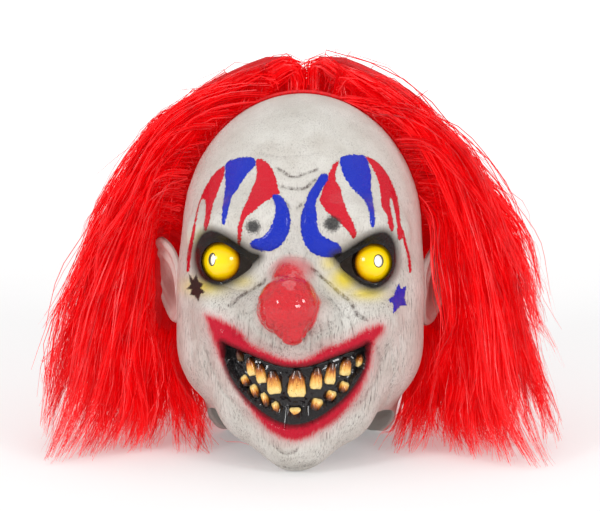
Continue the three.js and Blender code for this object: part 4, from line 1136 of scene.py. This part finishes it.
def side_guides(side, share, layer):
    """Where a wisp of the side curtains runs. Share 0 starts at the parting, 1 behind the ear."""
    from_top = np.radians(5 + 79 * share**0.85)
    way = np.stack([side * np.sin(from_top), 0.24 + 0.38 * layer, np.cos(from_top)], -1)
    root = trace(unit(way), head_distance, 1.5)
    inset = 1 - 0.12 * np.maximum(layer, 0)
    tip_x = side * (1 - 0.42 * share) * (hair_reach - tip_inset) * inset
    tip = on_table(tip_x, -hair_front * (1 - share) + hair_front * layer, np.full(len(share), 2.0))
    high = hair_top - 15
    top = high + (root[:, 2] + 12 - high) * np.minimum(1, 1.6 * share)
    points = [root]
    for fall in (0, 0.1, 0.24, 0.42, 0.64, 0.84):
        z = top + (tip[:, 2] - top) * fall
        wide = hair_width_at(z) - curtain_inset
        beside = np.abs(root[:, 0]) + (half_width - np.abs(root[:, 0])) * min(1, 3 * fall) + 15
        x = side * (wide + (np.minimum(wide, beside) - wide) * share) * inset
        points.append(np.stack([x, root[:, 1] + (tip[:, 1] - root[:, 1]) * fall, z], -1))
    points.append(tip)
    return np.stack(points, 1)


def sweep_guides(side, share, height, layer, reach):
    """Locks that sweep out and down from the hairline and end at different heights."""
    from_top = np.radians(8 + 72 * share)
    way = np.stack([side * np.sin(from_top), 0.16 + 0.3 * layer, np.cos(from_top)], -1)
    root = trace(unit(way), head_distance, 1.5)
    height = 3 + height * 0.75 * root[:, 2]
    wide = np.minimum(hair_width_at(height) + reach, hair_reach - tip_inset)
    tip = on_table(side * wide, -hair_front * (1 - height / hair_top) + 30 + 34 * layer, height)
    points = [root]
    for fall in (0.1, 0.24, 0.42, 0.6, 0.76, 0.9):
        off = (tip - root) * np.array([fall**0.72, fall, fall**1.5])
        points.append(root + off + [0, 0, 15 * math.sin(math.pi * fall)])
    points.append(tip)
    return np.stack(points, 1)


def back_guides(share, tier):
    """Where a wisp of the back runs, from tier 0 low on the head to tier 1 high on it."""
    bearing = 100 + 160 * share
    root = trace(ways_of(bearing, 14 + 44 * tier), head_distance, 1.5)
    way = unit(root * [1, 1, 0])
    behind = np.abs(np.cos(np.radians(bearing)))
    reach = (hair_reach * 0.8 + (hair_back - hair_reach * 0.8) * behind) * (0.84 + 0.14 * tier)
    tip = on_table(way[:, 0] * reach, way[:, 1] * reach - 8, np.full(len(share), 2.0))
    points = [root]
    for fall in (0.08, 0.2, 0.4, 0.7):
        p = root + (tip - root) * fall + way * 28 * (0.45 + 0.7 * math.sin(math.pi * fall))
        p[:, 2] += 18 * tier * (1 - fall)
        points.append(p)
    points.append(tip)
    return np.stack(points, 1)


def tuft_guides(side, lift):
    """The tuft that stands up at the parting and falls to both sides."""
    count = len(side)
    way = np.stack([0.06 * side, 0.16 + 0.3 * lift, np.ones(count)], -1)
    root = trace(unit(way), head_distance, 1.5)
    rows = [(0.0, -2, None), (0.1, -6, 0.35), (0.34, -4, 0.95), (0.68, 4, 1.8), (0.98, 8, 3.0)]
    points = [root]
    for across, back, down in rows:
        z = root[:, 2] + 15 if down is None else hair_top - 30 * down - 10 * lift
        x = root[:, 0] if down is None else side * across * half_width
        points.append(np.stack([x, root[:, 1] + back + 12 * lift, z + 0 * side], -1))
    return np.stack(points, 1)


def neck_guides(side, spread, lift):
    """Thin locks from behind the ears, round the edge of the neck opening."""
    way = np.stack([0.93 * side, 0.28 + 0.2 * lift, -0.06 - 0.1 * lift], -1)
    root = trace(unit(way), head_distance, 1.5)
    tip = on_table(side * (64 + 26 * spread), -34 + 34 * lift, 2 + 0 * side)
    points = [root]
    for fall in (0.12, 0.28, 0.46, 0.64, 0.82):
        bow = np.array([1, 0, 0]) * side[:, None] * 9 * math.sin(math.pi * fall)
        points.append(root + (tip - root) * fall + bow)
    points.append(tip)
    return np.stack(points, 1)


def ear_guides(side, spread):
    """The thin wisps that fall in front of the right ear."""
    way = np.stack([0.9 * side, 0.14 + 0.1 * spread, 0.62 + 0.1 * spread], -1)
    points = [trace(unit(way), head_distance, 1.5)]
    for out, back, up in ((8, -1, 1.2), (12, -12, 0.8), (15, -16, 0.2), (11, -14, -0.75)):
        x = side * (half_width + out + 3 * spread)
        points.append(np.stack([x, back + 5 * spread, 105 + up * 66 + 0 * side], -1))
    return np.stack(points, 1)


def along_guides(controls, stations):
    """Evenly spaced points along the smooth curves through the control points."""
    ends = [2 * controls[:, :1] - controls[:, 1:2], controls, 2 * controls[:, -1:] - controls[:, -2:-1]]
    row = np.concatenate(ends, 1)[:, :, None]
    a, b, c, d = row[:, :-3], row[:, 1:-2], row[:, 2:-1], row[:, 3:]
    spline = spline_between(a, b, c, d, 8)
    dense = np.concatenate([spline.reshape(len(controls), -1, 3), controls[:, -1:]], 1)
    run = np.linalg.norm(np.diff(dense, axis=1), axis=2).cumsum(1)
    run = np.concatenate([np.zeros((len(run), 1)), run], 1)
    even = np.linspace(0, 1, stations)
    out = np.empty((len(dense), stations, 3))
    for i in range(len(dense)):
        for k in range(3):
            out[i, :, k] = np.interp(even * run[i, -1], run[i], dense[i, :, k])
    return out


def frames_along(line):
    along = unit(np.gradient(line, axis=-2))
    outward = unit((line - heart) * [1, 1, 0.35])
    across = unit(np.cross(along, outward))
    return along, across, np.cross(across, along)


def clear_of_head(line, gap):
    """Pushes points out of the head and up off the table."""
    flat = line.reshape(-1, 3)
    for _ in range(2):
        short = gap.ravel() - head_distance(flat)
        flat = flat + unit(flat - heart) * np.maximum(short, 0)[:, None]
    row = to_row(flat) * 1000
    row[:, 2] = np.where(row[:, 2] < 3, 0.5 + 2.5 * np.exp((np.minimum(row[:, 2], 3) - 3) / 4), row[:, 2])
    return from_row(row / 1000).reshape(line.shape)


def quad_piece(name, points, quads, marks):
    """A piece of very many quads."""
    mesh = bpy.data.meshes.new(name)
    mesh.vertices.add(len(points))
    mesh.vertices.foreach_set("co", to_row(points).astype(np.float32).ravel())
    mesh.loops.add(quads.size)
    mesh.loops.foreach_set("vertex_index", quads.astype(np.int32).ravel())
    mesh.polygons.add(len(quads))
    mesh.polygons.foreach_set("loop_start", np.arange(0, quads.size, 4, dtype=np.int32))
    mesh.update(calc_edges=True)
    mesh.validate()
    mesh.shade_smooth()
    write_marks(mesh, marks)
    piece = bpy.data.objects.new(name, mesh)
    bpy.context.scene.collection.objects.link(piece)
    return piece


fibre_stations = 14
ear_space = {"from": 80, "to": 113, "low": 92, "high": 184, "back": 24}
wild = np.random.default_rng(11)


def held_behind_ears(line):
    """The ears hold back the strands beside them."""
    held = line.copy()
    for side in (-1, 1):
        wide, high = side * line[..., 0], line[..., 2]
        beside = np.clip((wide - ear_space["from"]) / 6, 0, 1) * np.clip((ear_space["to"] - wide) / 7, 0, 1)
        level = np.clip((high - ear_space["low"]) / 12, 0, 1) * np.clip((ear_space["high"] - high) / 12, 0, 1)
        back = np.maximum(ear_space["back"] + 0.3 * (np.abs(line[..., 0]) - 85) - line[..., 1], 0)
        held[..., 1] += back * (beside * level)
    return held


def wisps(name, controls, fibres, spread, behind_ears=True):
    """Strands of hair in wisps, one wisp along each guide, that narrow together towards their tips."""
    guides = along_guides(controls, fibre_stations)
    count = len(guides)
    t = np.linspace(0, 1, fibre_stations)
    _, across, out = frames_along(guides)
    swing = wild.normal(size=(count, 2, 1)) * spread * (0.35 + 0.65 * np.sin(np.pi * np.minimum(t, 0.8)))
    bend = wild.uniform(2.5, 9, (count, 2, 1)) * t * np.sin(
        2 * np.pi * (wild.uniform(0.7, 2.3, (count, 2, 1)) * t + wild.uniform(0, 1, (count, 2, 1)))
    )
    wisp_line = guides + across * (swing + bend)[:, 0, :, None] + out * (0.7 * swing + bend)[:, 1, :, None]
    pick = np.repeat(np.arange(count), fibres)
    strands = len(pick)
    disc = wild.normal(size=(strands, 2, 1)) * 0.5
    stray = np.where(wild.random((strands, 1, 1)) < 0.14, 2.1, 1.0)
    girth = wild.uniform(3.5, 7.5, count)[pick][:, None, None]
    narrow = 1 - 0.72 * np.clip((t - 0.25) / 0.75, 0, 1) ** 1.2
    fan = disc * girth * np.where(stray > 1, 1.0, narrow) * stray
    curl = wild.uniform(0.4, 2.0, (strands, 2, 1)) * stray * np.sin(
        2 * np.pi * (wild.uniform(1.2, 3.6, (strands, 2, 1)) * t + wild.uniform(0, 1, (strands, 2, 1)))
    ) * (0.2 + t)
    offset = fan + curl
    line = wisp_line[pick] + across[pick] * offset[:, 0, :, None] + out[pick] * offset[:, 1, :, None]
    # Strands start and end unevenly
    start = wild.uniform(0, 0.06, (strands, 1))
    end = wild.uniform(0.66, 1.03, (strands, 1)) ** 0.8
    at = start + (end - start) * t
    index = np.clip(at * (fibre_stations - 1), 0, fibre_stations - 1.001)
    low = index.astype(int)
    part = (index - low)[..., None]
    rows = np.arange(strands)[:, None]
    line = line[rows, low] * (1 - part) + line[rows, low + 1] * part
    if behind_ears:
        line = held_behind_ears(line)
    line = clear_of_head(line, np.broadcast_to(1.2 + 5 * np.minimum(t * 6, 1), line.shape[:2]))
    along, across, out = frames_along(line)
    roll = wild.normal(size=(strands, 1, 1)) * 0.8
    flat = unit(across * np.cos(roll) + out * np.sin(roll))
    width = wild.uniform(0.42, 0.85, (strands, 1)) * (1 - 0.7 * t**3)
    left, right = line - flat * width[..., None] / 2, line + flat * width[..., None] / 2
    points = np.stack([left, right], 2).reshape(-1, 3)
    first = (np.arange(strands)[:, None] * fibre_stations + np.arange(fibre_stations - 1)) * 2
    quads = np.stack([first, first + 1, first + 3, first + 2], -1).reshape(-1, 4)
    tone = wild.uniform(-0.5, 0.5, count)[pick] * 0.5 + wild.uniform(-0.5, 0.5, strands) * 0.8
    tone = np.repeat(tone, fibre_stations * 2)
    length = np.tile(np.repeat(t, 2), strands)
    return quad_piece(name, points, quads, {"tone": tone, "length": length})


def fibre_finish():
    material, place = new_finish("red_fibre")
    tone, length = place.mark("tone"), place.mark("length")
    patchy = place.noise(16, 2.0)
    # Darker near the roots, in the first fifth of each strand: painted shade.
    mixed = tone * 0.5 + patchy * 0.7 + 0.15 + length.between(0, 0.2, -0.12, 0)
    red = place.node("ValToRGB", {"stops": [
        (0.0, (0.34, 0.0, 0.002)), (0.3, (0.66, 0.0, 0.004)), (0.6, (0.92, 0.001, 0.004)),
        (1.0, (1.0, 0.02, 0.025))]}, {"Fac": mixed})
    # A faint red glow over all the hair: painted light, standing in for light that passes through the fibres.
    glow = {"Emission Color": colour((0.9, 0.0, 0.002)), "Emission Strength": 0.15}
    finish_with(place, {"Base Color": red, "Roughness": 0.36, **glow})
    return material


def under_finish():
    material, place = new_finish("red_underlayer")
    stripes = place.node("CombineXYZ", (), {0: place.mark("around"), 1: place.mark("length") * 3.0})
    grain = place.node("TexNoise", (), {"Vector": stripes, "Scale": 9.0, "Detail": 4.0, "Roughness": 0.7})
    red = place.node("ValToRGB", {"stops": [
        (0.3, (0.30, 0.0, 0.002)), (0.55, (0.62, 0.0, 0.004)), (0.75, (0.88, 0.002, 0.006))]}, {"Fac": grain})
    # The underlayer glows faintly red as well: painted light.
    glow = {"Emission Color": colour((0.9, 0.0, 0.002)), "Emission Strength": 0.22}
    finish_with(place, {"Base Color": red, "Roughness": 0.5, **glow}, grain, 0.9, 0.002)
    return material


red_fibre, red_underlayer = fibre_finish(), under_finish()


def wear_hair(piece, finish):
    piece.data.materials.append(finish)
    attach(piece, "root")


# The weft base: a close cap of netting over the back of the head, cut off at the hairline. It is
# glued to the latex, and the wefts are sewn to it.
cap_turns, cap_rings = 96, 34
hairline_way = np.array([0, math.cos(math.radians(10)), math.sin(math.radians(10))])
cap_up = np.cross([1.0, 0, 0], hairline_way)


def cap_surface(level):
    turn = np.linspace(0, 2 * math.pi, cap_turns, endpoint=False)
    round_way = np.outer(np.cos(turn), [1.0, 0, 0]) + np.outer(np.sin(turn), cap_up)
    low, high = np.zeros(cap_turns), np.full(cap_turns, 2.2)
    for _ in range(14):
        middle = (low + high) / 2
        way = np.outer(np.cos(middle), np.ones(3)) * hairline_way + np.sin(middle)[:, None] * round_way
        p = trace(way, head_distance, level)
        kept = ((p - [0, 6, 275]) @ hairline_way > 0) & (p[:, 2] > 58)
        low, high = np.where(kept, middle, low), np.where(kept, high, middle)
    fall = np.linspace(0, 1, cap_rings)[:, None] * low[None, :]
    ways = np.cos(fall)[..., None] * hairline_way + np.sin(fall)[..., None] * round_way
    return trace(ways.reshape(-1, 3), head_distance, level)


cap_points = np.vstack([cap_surface(2.9), cap_surface(0.5)])
ring = np.arange(cap_turns)
after = (ring + 1) % cap_turns
cap_quads = []
under = cap_rings * cap_turns
for k in range(cap_rings - 1):
    a, b = k * cap_turns, (k + 1) * cap_turns
    cap_quads.append(np.stack([a + ring, b + ring, b + after, a + after], -1))
    cap_quads.append(np.stack([a + after, b + after, b + ring, a + ring], -1) + under)
edge = (cap_rings - 1) * cap_turns
cap_quads.append(np.stack([edge + ring, edge + under + ring, edge + under + after, edge + after], -1))
cap_around = np.tile(np.tile(ring / 3.0, cap_rings), 2)
cap_length = np.tile(np.repeat(np.linspace(0, 3, cap_rings), cap_turns), 2)
cap_marks = {"around": cap_around, "length": cap_length}
wig_base = quad_piece("wig_base", cap_points, np.vstack(cap_quads), cap_marks)
wear_hair(wig_base, red_underlayer)
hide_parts("hair")

# The hidden underlayers of the wefts: thick tapering locks that lie on the head and close the
# curtains, so that no light comes through between the strands.
lock_sides, lock_stations = 20, 26


def under_locks(name, controls, width, thickness):
    # The locks end a little short of the strands over them
    line = along_guides(controls, lock_stations + 5)[:, :lock_stations]
    _, across, out = frames_along(line)
    t = np.linspace(0, 1, lock_stations)
    swell = np.where(t < 0.3, 0.55 + 0.45 * t / 0.3, 1 - 0.86 * np.clip((t - 0.3) / 0.7, 0, 1) ** 1.5)
    turn = np.linspace(0, 2 * math.pi, lock_sides, endpoint=False)
    lump = 1 + 0.12 * np.sin(5 * turn + 3) * np.ones(lock_stations)[:, None]
    side = (np.cos(turn) * lump * swell[:, None])[None, ..., None] * width / 2
    rise = (np.sin(turn) * lump * swell[:, None])[None, ..., None] * thickness / 2
    points = line[:, :, None] + across[:, :, None] * side + out[:, :, None] * rise
    shape = points.shape
    points = clear_of_head(points.reshape(shape[0], -1, 3), np.full((shape[0], shape[1] * shape[2]), 0.8))
    count = len(line)
    station = np.arange(count)[:, None, None] * lock_stations + np.arange(lock_stations - 1)[:, None]
    start = station * lock_sides
    here, there = start + np.arange(lock_sides), start + (np.arange(lock_sides) + 1) % lock_sides
    quads = np.stack([here, there, there + lock_sides, here + lock_sides], -1).reshape(-1, 4)
    around = np.broadcast_to(np.arange(lock_sides) * 0.9, shape[:3]) + np.arange(count)[:, None, None] * 7.3
    length = np.broadcast_to((t * 1.4)[None, :, None], shape[:3])
    marks = {"around": around, "length": length}
    wear_hair(quad_piece(name, points.reshape(-1, 3), quads, marks), red_underlayer)


for side, word in ((-1, "left"), (1, "right")):
    shares = np.array([0, 0.2, 0.4, 0.6, 0.8, 1.0, 0.1, 0.4, 0.7, 1.0])
    layers = np.array([0.1, 0.1, 0.1, 0.15, 0.3, 0.5, 1, 1, 1, 1])
    under_locks("wig_underlayer_" + word, side_guides(np.full(10, float(side)), shares, layers), 26, 18)
back_shares = (np.arange(12) + 0.5) / 12
under_locks("wig_underlayer_back", back_guides(back_shares, np.full(12, 0.9)), 44, 16)

# The hair itself, over the underlayers: the curtains, the thinner hair low behind the jaw, the
# short wisps along the hairline, the back, the tuft and the few wisps over the right ear
for side, word in ((-1, "left"), (1, "right")):
    layers = np.clip(wild.uniform(-0.35, 1.2, 95), -0.35, 1.1)
    curtain = side_guides(np.full(95, float(side)), wild.uniform(0, 1, 95) ** 0.9, layers)
    sweep = sweep_guides(np.full(70, float(side)), wild.uniform(0, 1, 70), wild.uniform(0, 0.85, 70) ** 1.3,
                         wild.uniform(-0.4, 1.1, 70), wild.uniform(-34, 6, 70))
    wear_hair(wisps("wig_side_" + word, np.concatenate([curtain, sweep]), 42, 7), red_fibre)
low_sides = np.repeat([-1.0, 1.0], 26)
low = side_guides(low_sides, wild.uniform(1.0, 1.42, 52), wild.uniform(0.35, 1.2, 52))
low[:, 3:, 1] -= np.linspace(6, 1, 5) ** 0.5 * wild.uniform(0, 6, (52, 1))
wear_hair(wisps("wig_low", low, 30, 8), red_fibre)
neck = neck_guides(np.repeat([-1.0, 1.0], 16), wild.uniform(0, 1, 32), wild.uniform(0, 1, 32))
wear_hair(wisps("wig_neck", neck, 24, 3), red_fibre)
line_sides = np.repeat([-1.0, 1.0], 26)
hairline = side_guides(line_sides, np.tile(np.linspace(0.02, 0.95, 26), 2), wild.uniform(-0.4, -0.16, 52))
wear_hair(wisps("wig_hairline", hairline, 26, 3), red_fibre)
back = back_guides(wild.uniform(0, 1, 150), wild.uniform(0, 1.3, 150))
wear_hair(wisps("wig_back", back, 40, 8), red_fibre)
tuft = tuft_guides(np.repeat([-1.0, 1.0], 16), wild.uniform(0, 1, 32))
wear_hair(wisps("wig_tuft", tuft, 36, 5), red_fibre)
over_ear = ear_guides(np.ones(4), wild.uniform(-1, 1, 4))
wear_hair(wisps("wig_ear_wisps", over_ear, 30, 2, False), red_fibre)

# Floor, light and camera: a white sweep in a soft, even studio light, and the camera where the
# painter stood
floor_mesh = bpy.data.meshes.new("floor")
floor_mesh.from_pydata([(-6, -6, 0), (6, -6, 0), (6, 6, 0), (-6, 6, 0)], [], [(0, 1, 2, 3)])
floor = bpy.data.objects.new("floor", floor_mesh)
bpy.context.scene.collection.objects.link(floor)


def floor_finish():
    material, place = new_finish("white_sweep")
    away = place.node("VectorMath", {"operation": "LENGTH"}, {0: place}, output=1)
    glow = away.between(0.35, 2.2, 0.28, 0.75)
    bright = tint(place, (1.0, 1.0, 1.0), colour((0.0, 0.0, 0.0)), glow)
    finish_with(place, {"Base Color": colour((0.66, 0.66, 0.66)), "Roughness": 0.9, "Emission Color": bright,
                        "Emission Strength": 1.0})
    return material


floor_mesh.materials.append(floor_finish())

world = bpy.data.worlds.new("studio")
bpy.context.scene.world = world
world.use_nodes = True
world.node_tree.nodes["Background"].inputs["Color"].default_value = (1, 1, 1, 1)
world.node_tree.nodes["Background"].inputs["Strength"].default_value = 0.75


def softbox(name, place, aim, size, power):
    lamp = bpy.data.lights.new(name, "AREA")
    lamp.shape, lamp.size, lamp.energy = "DISK", size, power
    lamp_object = bpy.data.objects.new(name, lamp)
    lamp_object.location = place
    lamp_object.rotation_euler = (Vector(aim) - Vector(place)).to_track_quat("-Z", "Y").to_euler()
    bpy.context.scene.collection.objects.link(lamp_object)


softbox("key", (-1.4, -1.7, 1.1), (0, 0, 0.12), 0.6, 17)
softbox("fill", (1.5, -1.6, 1.0), (0, 0, 0.12), 0.6, 15)
softbox("top", (0.1, 0.3, 1.9), (0, 0, 0.1), 1.2, 6)

bpy.context.scene.view_settings.view_transform = "Standard"
bpy.context.scene.view_settings.look = "None"

camera_data = bpy.data.cameras.new("camera")
camera_data.lens = 265
camera_data.sensor_width = 36
camera = bpy.data.objects.new("camera", camera_data)
bpy.context.scene.collection.objects.link(camera)
camera.location = Vector(to_row(painter))
toward = Vector(to_row(easel)) - camera.location
camera.rotation_euler = toward.to_track_quat("-Z", "Y").to_euler()
bpy.context.scene.camera = camera
